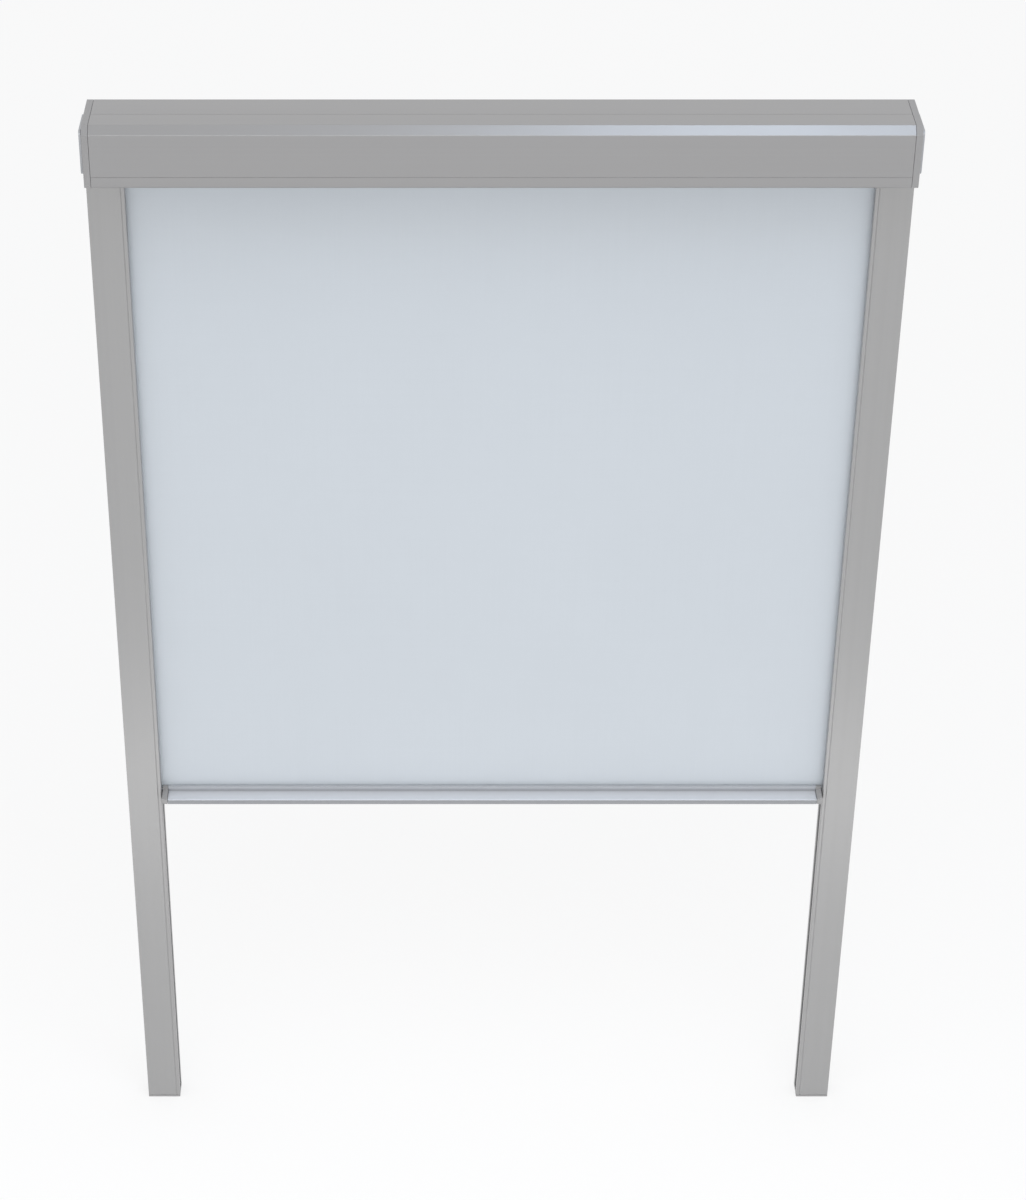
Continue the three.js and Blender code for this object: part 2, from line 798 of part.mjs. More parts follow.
function barOutline() {
  const half = hemSlotWidth / 2;
  const seal = barSealWidth / 2 + fitGap;
  const lipInner = ledgeFront + ledgeSheet;
  const underside = -ledgeDrop - ledgeSag - ledgeSheet;
  const beadFront = barFront - barBead;
  return path([
    [fabricPlane + half, 0],
    ...hemPocket().reverse(),
    [fabricPlane - half, 0],
    [beadFront, 0, barEdgeRadius],
    [beadFront, -barBeadHeight],
    [barFront, -barBeadHeight - barBead],
    ...ledgeCurve(10),
    [ledgeFront, -ledgeDrop, lipRadius / 2],
    [ledgeFront, -ledgeDrop - lipHeight, lipRadius],
    [lipInner, -ledgeDrop - lipHeight],
    [lipInner, underside, lipRadius],
    [barFront, underside],
    [barFront, -barBodyHeight, barEdgeRadius],
    [fabricPlane - seal, -barBodyHeight],
    [fabricPlane - seal, -barBodyHeight + barSealRecess],
    [fabricPlane + seal, -barBodyHeight + barSealRecess],
    [fabricPlane + seal, -barBodyHeight],
    [barRear, -barBodyHeight, barEdgeRadius],
    [barRear, 0, barEdgeRadius],
  ], true);
}

function chamber(inset) {
  const half = barBodyDepth / 2 - barWall - inset;
  const top = -chamberTopDrop - inset;
  const bottom = -chamberTopDrop - chamberHeight + inset;
  return rectangle(fabricPlane - half, bottom, fabricPlane + half, top);
}

function bottomBar() {
  const shape = outline(barOutline());
  shape.holes.push(new THREE.Path(chamber(0).getPoints()));
  return alongX(shape, -barHalf, barHalf);
}

function hemRod() {
  return bar(hemRodRadius, -barHalf, barHalf, fabricPlane, -hemPocketDrop, 12);
}

function barSeal() {
  const half = barSealWidth / 2;
  const top = -barBodyHeight + barSealRecess - fitGap;
  const bottom = -barBodyHeight - barSealHeight;
  return block(-barHalf, fabricPlane - half, bottom, barHalf, fabricPlane + half, top);
}

function barCapOutline() {
  const lipBottom = -ledgeDrop - lipHeight;
  return outline(path([
    [barRear, 0, barEdgeRadius],
    [barRear, -barBodyHeight, barEdgeRadius],
    [barFront, -barBodyHeight, barEdgeRadius],
    [barFront, -ledgeDrop - ledgeSag - ledgeSheet],
    [ledgeFront + ledgeSheet, lipBottom],
    [ledgeFront, lipBottom, lipRadius],
    [ledgeFront, -ledgeDrop + ledgeSag, lipRadius],
    [barFront - barBead, -barBeadHeight],
    [barFront - barBead, 0, barEdgeRadius],
  ], true));
}

function gliderFaces() {
  const inner = channelInner + channelFlange + gliderStandoff;
  const outer = halfOpening - channelWall - fitGap - clipWall - slideGap;
  return { inner, outer, rear: -channelWall - slideGap, front: -channelDepth + channelWall + slideGap };
}

function brakePocket() {
  const { outer, rear } = gliderFaces();
  const y = rear - padSetback - padWidth / 2;
  const z = -gliderDrop - gliderHeight / 2;
  return { x: outer - brakePocketDepth, y, z };
}

// The right-hand end of the bar: end plate, spigot, neck through the slot, and glider.
function barEndCap() {
  const { inner, outer, rear, front } = gliderFaces();
  const bottom = -gliderDrop - gliderHeight;
  const plate = alongX(barCapOutline(), barHalf + fitGap, barCapOuter);
  const spigot = alongX(chamber(fitGap), barHalf - barSpigotLength, barHalf + fitGap + barCapPlate / 2);
  const neckRear = fabricPlane + gliderNeck / 2;
  const neckFront = fabricPlane - gliderNeck / 2;
  const neckFrom = barCapOuter - barCapPlate / 2;
  const neckTo = inner + gliderStandoff / 2;
  const neck = block(neckFrom, neckFront, -barBodyHeight, neckTo, neckRear, -gliderDrop);
  const glider = alongZ(rectangle(inner, front, outer, rear, gliderCornerRadius), bottom, -gliderDrop);
  const { x, y, z } = brakePocket();
  const width = padWidth / 2 + fitGap;
  const height = padHeight / 2 + fitGap;
  const hollow = block(x, y - width, z - height, outer + cutOverrun, y + width, z + height);
  const half = hemSlotWidth / 2;
  const from = barHalf - cutOverrun;
  const to = barCapOuter + cutOverrun;
  const fabricSlot = block(from, fabricPlane - half, -fabricTuck - fitGap, to, fabricPlane + half, cutOverrun);
  return cut(join(plate, spigot, neck, glider), hollow, fabricSlot);
}

function brakePad() {
  const { y, z } = brakePocket();
  const outer = halfOpening - channelWall - fitGap;
  const width = padWidth / 2;
  const height = padHeight / 2;
  const face = rectangle(y - width, z - height, y + width, z + height, barEdgeRadius);
  return alongX(face, outer - padThickness, outer);
}

function brakeSpring() {
  const { x, y, z } = brakePocket();
  const padInner = halfOpening - channelWall - fitGap - padThickness;
  const length = padInner - x - 2 * fitGap;
  return coil(brakeSpringRadius, brakeWireRadius, length, brakeTurns).translate(x + fitGap, y, z);
}

// Assembly

function part(name, geometry, finish) {
  const mesh = new THREE.Mesh(geometry, new THREE.MeshStandardMaterial(finish));
  mesh.name = name;
  return mesh;
}

// The same piece on the right, as drawn, and on the left.
function pair(name, geometry, finish) {
  return [
    part(`${name}_right`, geometry, finish),
    part(`${name}_left`, mirrored(geometry), finish),
  ];
}

function cassette() {
  const group = new THREE.Group();
  group.add(
    part('cassette_back', cassetteBack(), satinAluminium),
    part('cassette_cover', cassetteCover(), satinAluminium),
    part('cassette_slot_brush', slotBrush(), greyPile),
    part('cassette_end_cap_right', endCap(shaftCornerRadius + fitGap, 6), greyPlastic),
    part('cassette_end_cap_left', mirrored(endCap(axleRadius + fitGap, 24)), greyPlastic),
    ...pair('mounting_bracket', bracket(), zincSteel),
  );
  const places = ['upper', 'lower', 'front'];
  screwPorts().forEach((port, i) => group.add(...pair(`cap_screw_${places[i]}`, capScrew(port), zincSteel)));
  return group;
}

function sideChannels() {
  const group = new THREE.Group();
  group.add(
    ...pair('channel_base', channelBase(), satinAluminium),
    ...pair('channel_cover', channelCover(), satinAluminium),
    ...pair('pile_seal_rear', pileSeal(1), greyPile),
    ...pair('pile_seal_front', pileSeal(-1), greyPile),
    ...pair('channel_top_plug', channelTopPlug(), greyPlastic),
    ...pair('channel_foot', channelFoot(), greyPlastic),
  );
  return group;
}

function roller() {
  const group = new THREE.Group();
  group.position.set(0, rollerY, rollerZ);
  group.add(
    part('roller_tube', rollerTube(), satinAluminium),
    part('tube_keder', tubeKeder(), whiteNylon),
    part('fabric_roll', fabricRoll(), blindFabric),
    part('idle_plug', mirrored(tubePlug()), darkPlastic),
    part('idle_bush', mirrored(plugBush(axleRadius + fitGap, 24)), whiteNylon),
    part('idle_pin', mirrored(idlePin()), zincSteel),
    part('bearing_plug', tubePlug(), darkPlastic),
    part('shaft_bush', plugBush(shaftCornerRadius + fitGap, 6), whiteNylon),
    part('fixed_shaft', hexShaft(), zincSteel),
    part('spring_collar', springCollar(), darkPlastic),
    part('spring_driver', springDriver(), darkPlastic),
    part('torsion_spring', torsionSpring(), springSteel),
  );
  return group;
}

function slidingBar() {
  const group = new THREE.Group();
  group.position.set(0, 0, barTop);
  group.add(
    part('bottom_bar', bottomBar(), satinAluminium),
    part('hem_rod', hemRod(), whiteNylon),
    part('bar_seal', barSeal(), greyPile),
    ...pair('bar_end_cap', barEndCap(), greyPlastic),
    ...pair('brake_pad', brakePad(), feltPad),
    ...pair('brake_spring', brakeSpring(), springSteel),
  );
  return group;
}

const blind = new THREE.Group();
blind.add(cassette(), sideChannels(), roller(), slidingBar());
blind.add(part('fabric_panel', fabricPanel(), blindFabric));

export default blind;
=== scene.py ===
"""Skylight roller blind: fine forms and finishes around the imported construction.

Metres, +Z up. The room side faces -Y, and the origin is the centre of the cassette's flat back.
"""

import logging
import math
import random
from collections.abc import Callable, Iterable, Sequence
from dataclasses import dataclass
from enum import Enum
from functools import cache

import bmesh
import bpy
from bmesh.types import BMEdge, BMesh, BMFace, BMVert
from bpy.types import ID, Material, Mesh, Node, NodeSocket, NodeTree, Object
from mathutils import Matrix, Vector
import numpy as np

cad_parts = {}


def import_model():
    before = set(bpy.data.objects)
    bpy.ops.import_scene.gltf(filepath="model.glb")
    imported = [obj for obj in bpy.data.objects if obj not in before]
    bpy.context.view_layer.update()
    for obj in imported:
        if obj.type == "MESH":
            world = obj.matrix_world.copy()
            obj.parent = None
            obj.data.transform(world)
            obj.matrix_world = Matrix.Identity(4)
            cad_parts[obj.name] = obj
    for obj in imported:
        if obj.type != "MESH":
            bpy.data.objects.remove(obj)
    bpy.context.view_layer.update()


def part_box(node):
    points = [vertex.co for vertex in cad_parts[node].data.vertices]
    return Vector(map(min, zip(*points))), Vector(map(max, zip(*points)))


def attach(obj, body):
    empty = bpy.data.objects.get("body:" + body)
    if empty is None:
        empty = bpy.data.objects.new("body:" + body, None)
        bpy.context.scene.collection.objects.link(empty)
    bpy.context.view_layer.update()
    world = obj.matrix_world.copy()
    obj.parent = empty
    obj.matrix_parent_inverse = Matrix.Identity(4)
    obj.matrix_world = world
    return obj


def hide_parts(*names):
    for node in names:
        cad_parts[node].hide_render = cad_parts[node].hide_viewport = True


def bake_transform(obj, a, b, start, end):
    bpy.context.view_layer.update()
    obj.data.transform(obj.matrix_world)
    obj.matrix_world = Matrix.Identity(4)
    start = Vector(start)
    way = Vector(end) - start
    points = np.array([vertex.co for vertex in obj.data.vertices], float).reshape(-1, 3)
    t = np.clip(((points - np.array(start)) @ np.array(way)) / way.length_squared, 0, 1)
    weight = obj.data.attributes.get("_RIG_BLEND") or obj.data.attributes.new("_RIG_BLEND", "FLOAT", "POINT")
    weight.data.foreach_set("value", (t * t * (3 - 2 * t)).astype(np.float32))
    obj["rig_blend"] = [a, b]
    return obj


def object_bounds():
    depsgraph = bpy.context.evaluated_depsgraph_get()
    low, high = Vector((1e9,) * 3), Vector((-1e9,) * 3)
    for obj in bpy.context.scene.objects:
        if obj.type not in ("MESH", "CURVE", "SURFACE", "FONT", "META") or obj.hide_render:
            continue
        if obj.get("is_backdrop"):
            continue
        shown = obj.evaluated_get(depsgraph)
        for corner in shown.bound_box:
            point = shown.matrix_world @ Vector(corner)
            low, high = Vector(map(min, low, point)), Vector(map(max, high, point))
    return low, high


MM = 0.001
EDGE_ATTRIBUTE = "edge"
PAINTED_HIGHLIGHT_ATTRIBUTE = "polish"
BLEND_ATTRIBUTE = "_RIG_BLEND"
CLOTH_UV = "cloth"
NOISE_RANGE = (0.3, 0.7)
QUARTER_TURN = Matrix.Rotation(math.pi / 2, 3, "X")
log = logging.getLogger("blind")


class Body(Enum):
    """The moving bodies of the construction."""

    FRAME = "frame"
    ROLLER = "roller"
    BAR = "bar"


class Side(Enum):
    """The two ends of the blind, with the direction each lies in along X."""

    RIGHT = 1
    LEFT = -1

    @property
    def suffix(self) -> str:
        """The end of a node's name on this side."""
        return f"_{self.name.lower()}"


class Axis(Enum):
    """The direction that a section is drawn out in, with the axes its section lies on."""

    X = (0, 1, 2)
    Z = (2, 0, 1)

    def point(self, along: float, across: float, up: float) -> Vector:
        """Turn a place along the axis and one in the section into a place in space.

        Args:
            along: How far it lies along the axis.
            across: How far it lies across the section.
            up: How far it lies up the section.

        Returns:
            The place.
        """
        place = Vector((0.0, 0.0, 0.0))
        for i, value in zip(self.value, (along, across, up)):
            place[i] = value
        return place

    @property
    def direction(self) -> Vector:
        """The axis as a unit vector."""
        return self.point(1, 0, 0)

    def section(self, place: Vector) -> Vector:
        """A place's across and up in the section."""
        return Vector((place[self.value[1]], place[self.value[2]]))


class Combine(Enum):
    """What a boolean does with two closed shapes."""

    JOIN = "UNION"
    CUT = "DIFFERENCE"


@dataclass(frozen=True)
class Corner:
    """A corner of a section, with the radius that it is rounded to."""

    across: float
    up: float
    radius: float = 0.0

    @property
    def place(self) -> Vector:
        """The corner's place in the section."""
        return Vector((self.across, self.up))


# Mesh tools


def as_mesh(bm: BMesh, name: str = "passing") -> Mesh:
    """Turn a bmesh into a mesh.

    Args:
        bm: The bmesh, which is freed.
        name: The mesh's name.

    Returns:
        The mesh.
    """
    mesh = bpy.data.meshes.new(name)
    bm.to_mesh(mesh)
    bm.free()
    return mesh


def linked(name: str, data: ID) -> Object:
    """Put an object in the scene.

    Args:
        name: The object's name.
        data: Its mesh, lamp or camera.

    Returns:
        The object.
    """
    thing = bpy.data.objects.new(name, data)
    bpy.context.scene.collection.objects.link(thing)
    return thing


def joined(first: BMesh, other: BMesh) -> BMesh:
    """Put two meshes in one, each as it is.

    Args:
        first: The mesh that takes the other in.
        other: The mesh that is added, which is freed.

    Returns:
        The first mesh.
    """
    mesh = as_mesh(other)
    first.from_mesh(mesh)
    bpy.data.meshes.remove(mesh)
    return first


def ordered(bm: BMesh) -> BMesh:
    """Build a mesh again in the order of its places, so that a boolean gives the same in every run.

    Args:
        bm: The mesh, which is freed.

    Returns:
        The same shape.
    """
    verts = sorted(bm.verts, key=lambda v: v.co[:])
    rank = {vert: i for i, vert in enumerate(verts)}
    loops = []
    for face in bm.faces:
        loop = [rank[v] for v in face.verts]
        first = loop.index(min(loop))
        loops.append(loop[first:] + loop[:first])
    result = bmesh.new()
    placed = [result.verts.new(v.co) for v in verts]
    for loop in sorted(loops):
        result.faces.new([placed[i] for i in loop])
    bm.free()
    return result


def combined(base: BMesh, tool: BMesh, how: Combine) -> BMesh:
    """Join two closed meshes, or cut one by the other.

    Args:
        base: The mesh that is kept, which is freed.
        tool: The mesh that is added or taken away, which is freed.
        how: Whether to join or to cut.

    Returns:
        The new mesh, with its flat faces whole.
    """
    objects = [linked("passing", as_mesh(ordered(shape))) for shape in (base, tool)]
    modifier = objects[0].modifiers.new("combine", "BOOLEAN")
    modifier.operation = how.value
    modifier.solver = "EXACT"
    modifier.object = objects[1]
    result = bmesh.new()
    result.from_object(objects[0], bpy.context.evaluated_depsgraph_get())
    for thing in objects:
        mesh = thing.data
        bpy.data.objects.remove(thing)
        bpy.data.meshes.remove(mesh)
    return tidied(ordered(result))


def tidied(bm: BMesh) -> BMesh:
    """Merge doubles, make flat faces whole and point every face outwards.

    Args:
        bm: The mesh, changed in place.

    Returns:
        The same mesh.
    """
    same_place = 0.002 * MM
    flat = math.radians(0.5)
    bmesh.ops.remove_doubles(bm, verts=bm.verts, dist=same_place)
    bmesh.ops.dissolve_limit(bm, angle_limit=flat, verts=bm.verts, edges=bm.edges)
    bmesh.ops.recalc_face_normals(bm, faces=bm.faces)
    return bm


def closed(bm: BMesh) -> BMesh:
    """Close the open ends of a mesh and point its faces outwards.

    Args:
        bm: The mesh, changed in place.

    Returns:
        The same mesh.
    """
    same_place = 0.001 * MM
    bmesh.ops.remove_doubles(bm, verts=bm.verts, dist=same_place)
    bmesh.ops.holes_fill(bm, edges=[e for e in bm.edges if e.is_boundary])
    bmesh.ops.recalc_face_normals(bm, faces=bm.faces)
    return bm


def axis_point(node: str, along: float = 0.0) -> Vector:
    """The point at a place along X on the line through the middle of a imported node."""
    low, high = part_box(node)
    return Vector((along, (low.y + high.y) / 2, (low.z + high.z) / 2))


def copied_node(node: str) -> BMesh:
    """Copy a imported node's mesh, with its loose triangles merged.

    Args:
        node: The node's name.

    Returns:
        The closed mesh.
    """
    bm = bmesh.new()
    bm.from_mesh(bpy.data.objects[node].data)
    return tidied(bm)


def bevelled(
    bm: BMesh, geom: Sequence[BMVert | BMEdge], reach: float, segments: int, clamp: bool = False
) -> list[BMFace]:
    """Round edges or corners.

    Args:
        bm: The mesh, changed in place.
        geom: The edges, or the corners.
        reach: How far each round reaches from its edge or corner.
        segments: The faces across a round.
        clamp: Whether a round stops where it would meet another.

    Returns:
        The faces of the rounds.
    """
    corners = any(isinstance(item, BMVert) for item in geom)
    made = bmesh.ops.bevel(
        bm,
        geom=geom,
        offset=reach,
        offset_type="OFFSET",
        segments=segments,
        profile=0.5,
        affect="VERTICES" if corners else "EDGES",
        clamp_overlap=clamp,
        material=-1,
    )
    return made["faces"]


def softened(bm: BMesh, width: float) -> BMesh:
    """Break every sharp edge, as a saw-cut end is filed or a mould rounds its corners.

    Args:
        bm: The mesh, changed in place.
        width: How far the new edges lie from the old one.

    Returns:
        The same mesh.
    """
    sharp = math.radians(40)
    edges = [e for e in bm.edges if e.is_manifold and e.calc_face_angle() > sharp]
    layer = bm.faces.layers.float.get(EDGE_ATTRIBUTE) or bm.faces.layers.float.new(EDGE_ATTRIBUTE)
    for face in bevelled(bm, edges, width, segments=2, clamp=True):
        face[layer] = 1.0
    return bm


def rounded(bm: BMesh, axis: Axis, place: Vector, radius: float) -> None:
    """Round the edge along an axis that lies nearest to a place in the section.

    Args:
        bm: The mesh, changed in place.
        axis: The axis.
        place: The place in the section.
        radius: The radius of the round.
    """
    same_place = 0.001 * MM
    runs = []
    for edge in bm.edges:
        near, far = (axis.section(v.co) for v in edge.verts)
        if (near - far).length < same_place:
            runs.append(edge)
    edge = min(runs, key=lambda e: (axis.section(e.verts[0].co) - place).length)
    bevelled(bm, [edge], radius * math.tan(edge.calc_face_angle() / 2), segments=6)


def chain(bm: BMesh, places: Iterable[Vector]) -> tuple[list[BMVert], list[BMEdge]]:
    """Join places by edges, each to the next, and give the points and the edges."""
    verts = [bm.verts.new(place) for place in places]
    return verts, [bm.edges.new(pair) for pair in zip(verts, verts[1:])]


def pushed(bm: BMesh, extruded: dict, travel: Vector) -> None:
    """Move what an extrusion made, and point the faces outwards.

    Args:
        bm: The mesh, changed in place.
        extruded: What the extrusion gave.
        travel: How far it moves.
    """
    moved = [v for v in extruded["geom"] if isinstance(v, BMVert)]
    bmesh.ops.translate(bm, vec=travel, verts=moved)
    bmesh.ops.recalc_face_normals(bm, faces=bm.faces)


def spun(bm: BMesh, geom: Sequence, centre: Vector, angle: float, steps: int, pitch: float = 0.0) -> None:
    """Sweep geometry round a line that runs along X, and close it where it comes full circle.

    Args:
        bm: The mesh, changed in place.
        geom: What is swept.
        centre: A point on the line.
        angle: How far it turns.
        steps: The faces along the sweep.
        pitch: How far it moves along X with each step.
    """
    bmesh.ops.spin(
        bm,
        geom=geom,
        cent=centre,
        axis=(1, 0, 0),
        dvec=(pitch, 0, 0),
        angle=angle,
        steps=steps,
        use_merge=angle == 2 * math.pi,
    )


def swept(places: Iterable[Vector], centre: Vector, angle: float, steps: int, pitch: float = 0.0) -> BMesh:
    """Sweep a flat shape round a line that runs along X.

    Args:
        places: The shape's corners.
        centre: A point on the line.
        angle: How far it turns.
        steps: The faces along the sweep.
        pitch: How far it moves along X with each step.

    Returns:
        The closed mesh.
    """
    bm = bmesh.new()
    verts = [bm.verts.new(place) for place in places]
    face = bm.faces.new(verts)
    spun(bm, [face, *face.edges, *verts], centre, angle, steps, pitch)
    return closed(bm)


def sided(bm: BMesh, side: Side) -> BMesh:
    """Turn a right-hand piece into the left-hand one, where that is its side.

    Args:
        bm: The mesh, changed in place.
        side: The piece's side.

    Returns:
        The same mesh.
    """
    if side is Side.LEFT:
        bmesh.ops.scale(bm, vec=(-1, 1, 1), verts=bm.verts)
        bmesh.ops.recalc_face_normals(bm, faces=bm.faces)
    return bm


def laid_out(bm: BMesh, along: Callable[[BMVert], float]) -> None:
    """Give a cloth coordinates of its own, across it and along its length.

    Args:
        bm: The mesh, changed in place.
        along: How far a point lies along the cloth's length.
    """
    uv = bm.loops.layers.uv.new(CLOTH_UV)
    for face in bm.faces:
        for loop in face.loops:
            loop[uv].uv = (loop.vert.co.x, along(loop.vert))


def thicken(thing: Object, thickness: float) -> None:
    """Give a sheet its thickness, half to each side.

    Args:
        thing: The sheet.
        thickness: The thickness.
    """
    modifier = thing.modifiers.new("thickness", "SOLIDIFY")
    modifier.thickness = thickness
    modifier.offset = 0


def drawn_wall(axis: Axis, line: Sequence[Corner], wall: float, start: float, end: float) -> BMesh:
    """Draw a wall of even thickness out along an axis.

    Args:
        axis: The direction it is drawn out in.
        line: The corners of the wall's outer face, with their radii.
        wall: The wall's thickness, to the left of the line, or to its right where it is below zero.
        start: Where it starts along the axis.
        end: Where it ends along the axis.

    Returns:
        The closed mesh.
    """
    bm = bmesh.new()
    verts, edges = chain(bm, [axis.point(start, c.across, c.up) for c in line])
    pushed(bm, bmesh.ops.extrude_edge_only(bm, edges=edges), axis.direction * (end - start))
    bm.normal_update()
    ahead = line[1].place - line[0].place
    left = axis.point(0, -ahead.y, ahead.x)
    facing = math.copysign(1, verts[0].link_faces[0].normal.dot(left))
    bmesh.ops.solidify(bm, geom=bm.faces[:], thickness=-wall * facing)
    bmesh.ops.recalc_face_normals(bm, faces=bm.faces)
    fillet = 0.25 * MM
    for before, corner, after in zip(line, line[1:], line[2:]):
        into = (corner.place - before.place).normalized()
        out = (after.place - corner.place).normalized()
        normals = [Vector((-d.y, d.x)) for d in (into, out)]
        mitre = (normals[0] + normals[1]) / (1 + normals[0].dot(normals[1]))
        closing = math.copysign(wall, into.cross(out) * wall)
        if corner.radius > 0:
            rounded(bm, axis, corner.place, corner.radius)
        if corner.radius > 0 or closing > 0:
            rounded(bm, axis, corner.place + mitre * wall, max(corner.radius - closing, fillet))
    return bm


def drawn_outline(
    axis: Axis, corners: Sequence[Corner], start: float, end: float, hole: Sequence[Corner] = ()
) -> BMesh:
    """Draw a closed outline out along an axis.

    Args:
        axis: The direction it is drawn out in.
        corners: The outline's corners, with their radii.
        start: Where it starts along the axis.
        end: Where it ends along the axis.
        hole: The corners of a hole through it.

    Returns:
        The closed mesh.
    """
    bm = bmesh.new()
    for loop in filter(None, (corners, hole)):
        verts = [bm.verts.new(axis.point(start, c.across, c.up)) for c in loop]
        bm.faces.new(verts)
        bm.normal_update()
        for before, corner, after, vert in zip((loop[-1], *loop), loop, (*loop[1:], loop[0]), verts):
            if corner.radius > 0:
                back = (before.place - corner.place).normalized()
                ahead = (after.place - corner.place).normalized()
                reach = corner.radius / math.tan(back.angle(ahead) / 2)
                bevelled(bm, [vert], reach, segments=5)
    if hole:
        bmesh.ops.delete(bm, geom=bm.faces[:], context="FACES_ONLY")
        bmesh.ops.triangle_fill(bm, use_beauty=True, use_dissolve=False, edges=bm.edges[:])
    extruded = bmesh.ops.extrude_face_region(bm, geom=bm.faces[:], use_keep_orig=True)
    pushed(bm, extruded, axis.direction * (end - start))
    return bm


# Shader tools


class Shader:
    """A material's or a group's nodes, made and linked by short calls."""

    def __init__(self, tree: NodeTree) -> None:
        """Start with an empty tree."""
        self.tree = tree
        tree.nodes.clear()

    def node(self, kind: str, inputs: dict | None = None, **settings: object) -> Node:
        """Add a node.

        Args:
            kind: The node's type without its prefix.
            inputs: What goes into its sockets: an output socket, or a value.
            settings: The node's own properties.

        Returns:
            The new node.
        """
        made = self.tree.nodes.new(f"ShaderNode{kind}")
        for name, value in settings.items():
            setattr(made, name, value)
        for key, value in (inputs or {}).items():
            self.feed(made.inputs[key], value)
        return made

    def feed(self, socket: NodeSocket, value: object) -> None:
        """Link an output to a socket, or set the socket's value.

        Args:
            socket: The socket that takes it.
            value: An output socket, or a value.
        """
        if isinstance(value, NodeSocket):
            self.tree.links.new(value, socket)
        else:
            socket.default_value = value

    def math(self, operation: str, *values: object) -> NodeSocket:
        """Add a Math node and give its result."""
        return self.node("Math", dict(enumerate(values)), operation=operation).outputs[0]

    def ranged(self, value: object, low: float, high: float, least: float = 0, most: float = 1) -> NodeSocket:
        """Map a value from one range to another, and give the result."""
        limits = {"From Min": low, "From Max": high, "To Min": least, "To Max": most}
        return self.node("MapRange", {"Value": value, **limits}).outputs["Result"]

    def noise(self, place: object, scale: object, detail: float, roughness: float = 0.5) -> NodeSocket:
        """Add a noise and give its value."""
        given = {"Vector": place, "Scale": scale, "Detail": detail, "Roughness": roughness}
        return self.node("TexNoise", given).outputs["Fac"]

    def bump(self, height: object, depth: float, strength: float = 1, **under: object) -> NodeSocket:
        """Add a bump, on top of a Normal where one is given, and give its normal."""
        given = {"Height": height, "Distance": depth, "Strength": strength, **under}
        return self.node("Bump", given).outputs["Normal"]

    def mixed(self, share: object, first: object, second: object) -> NodeSocket:
        """Mix two colours.

        Args:
            share: How much of the second there is.
            first: The first colour.
            second: The second colour.

        Returns:
            The mixed colour.
        """
        made = self.node("Mix", data_type="RGBA")
        sockets = {socket.identifier: socket for socket in (*made.inputs, *made.outputs)}
        for key, value in (("Factor_Float", share), ("A_Color", first), ("B_Color", second)):
            self.feed(sockets[key], value)
        return sockets["Result_Color"]


class Group(Shader):
    """A shader node group: an effect that several materials use."""

    def __init__(self, name: str, inputs: dict[str, object], outputs: Iterable[str]) -> None:
        """Start a group.

        Args:
            name: The group's name.
            inputs: Its inputs, with their values.
            outputs: Its outputs, all plain values.
        """
        super().__init__(bpy.data.node_groups.new(name, "ShaderNodeTree"))
        for label, value in inputs.items():
            kind = "NodeSocketVector" if isinstance(value, Vector) else "NodeSocketFloat"
            socket = self.tree.interface.new_socket(name=label, in_out="INPUT", socket_type=kind)
            socket.default_value = value
        for label in outputs:
            self.tree.interface.new_socket(name=label, in_out="OUTPUT", socket_type="NodeSocketFloat")
        self.given = self.tree.nodes.new("NodeGroupInput").outputs
        self.place = self.node("TexCoord").outputs["Object"]

    def ended(self, **results: NodeSocket) -> NodeTree:
        """Link the group's outputs.

        Args:
            results: What goes out by each output.

        Returns:
            The group's tree.
        """
        end = self.tree.nodes.new("NodeGroupOutput")
        for label, value in results.items():
            self.feed(end.inputs[label], value)
        return self.tree


@cache
def draw_lines() -> NodeTree:
    """Fine lines that a die leaves along a profile.

    Returns:
        The group: Stretch in, Height and Tone out.
    """
    group = Group("draw_lines", {"Stretch": Vector((1, 1, 1))}, ("Height", "Tone"))
    both = {0: group.place, 1: group.given["Stretch"]}
    scaled = group.node("VectorMath", both, operation="MULTIPLY").outputs[0]
    broad_scale = 0.12
    fine = group.noise(scaled, 1, detail=3, roughness=0.6)
    broad = group.noise(scaled, broad_scale, detail=2)
    return group.ended(Height=fine, Tone=group.ranged(broad, *NOISE_RANGE))


@cache
def fine_grain() -> NodeTree:
    """An even fine grain, as of lacquer, sparked moulds or felt.

    Returns:
        The group: Scale in, Height and Tone out.
    """
    group = Group("fine_grain", {"Scale": 1000.0}, ("Height", "Tone"))
    scale = group.given["Scale"]
    broad_share = 0.01
    fine = group.noise(group.place, scale, detail=2)
    broad = group.noise(group.place, group.math("MULTIPLY", scale, broad_share), detail=3)
    return group.ended(Height=fine, Tone=group.ranged(broad, *NOISE_RANGE))


@cache
def edge_wear() -> NodeTree:
    """Where handling has rubbed the broken edges, from the edge attribute of the mesh.

    Returns:
        The group: Amount in, Mask out.
    """
    group = Group("edge_wear", {"Amount": 0.5}, ("Mask",))
    edge = group.node("Attribute", attribute_name=EDGE_ATTRIBUTE).outputs["Fac"]
    patches = 60
    patchy = group.ranged(group.noise(group.place, patches, detail=4), 0.45, 0.65)
    worn = group.math("MULTIPLY", edge, patchy)
    return group.ended(Mask=group.math("MULTIPLY", worn, group.given["Amount"]))


# Finishes


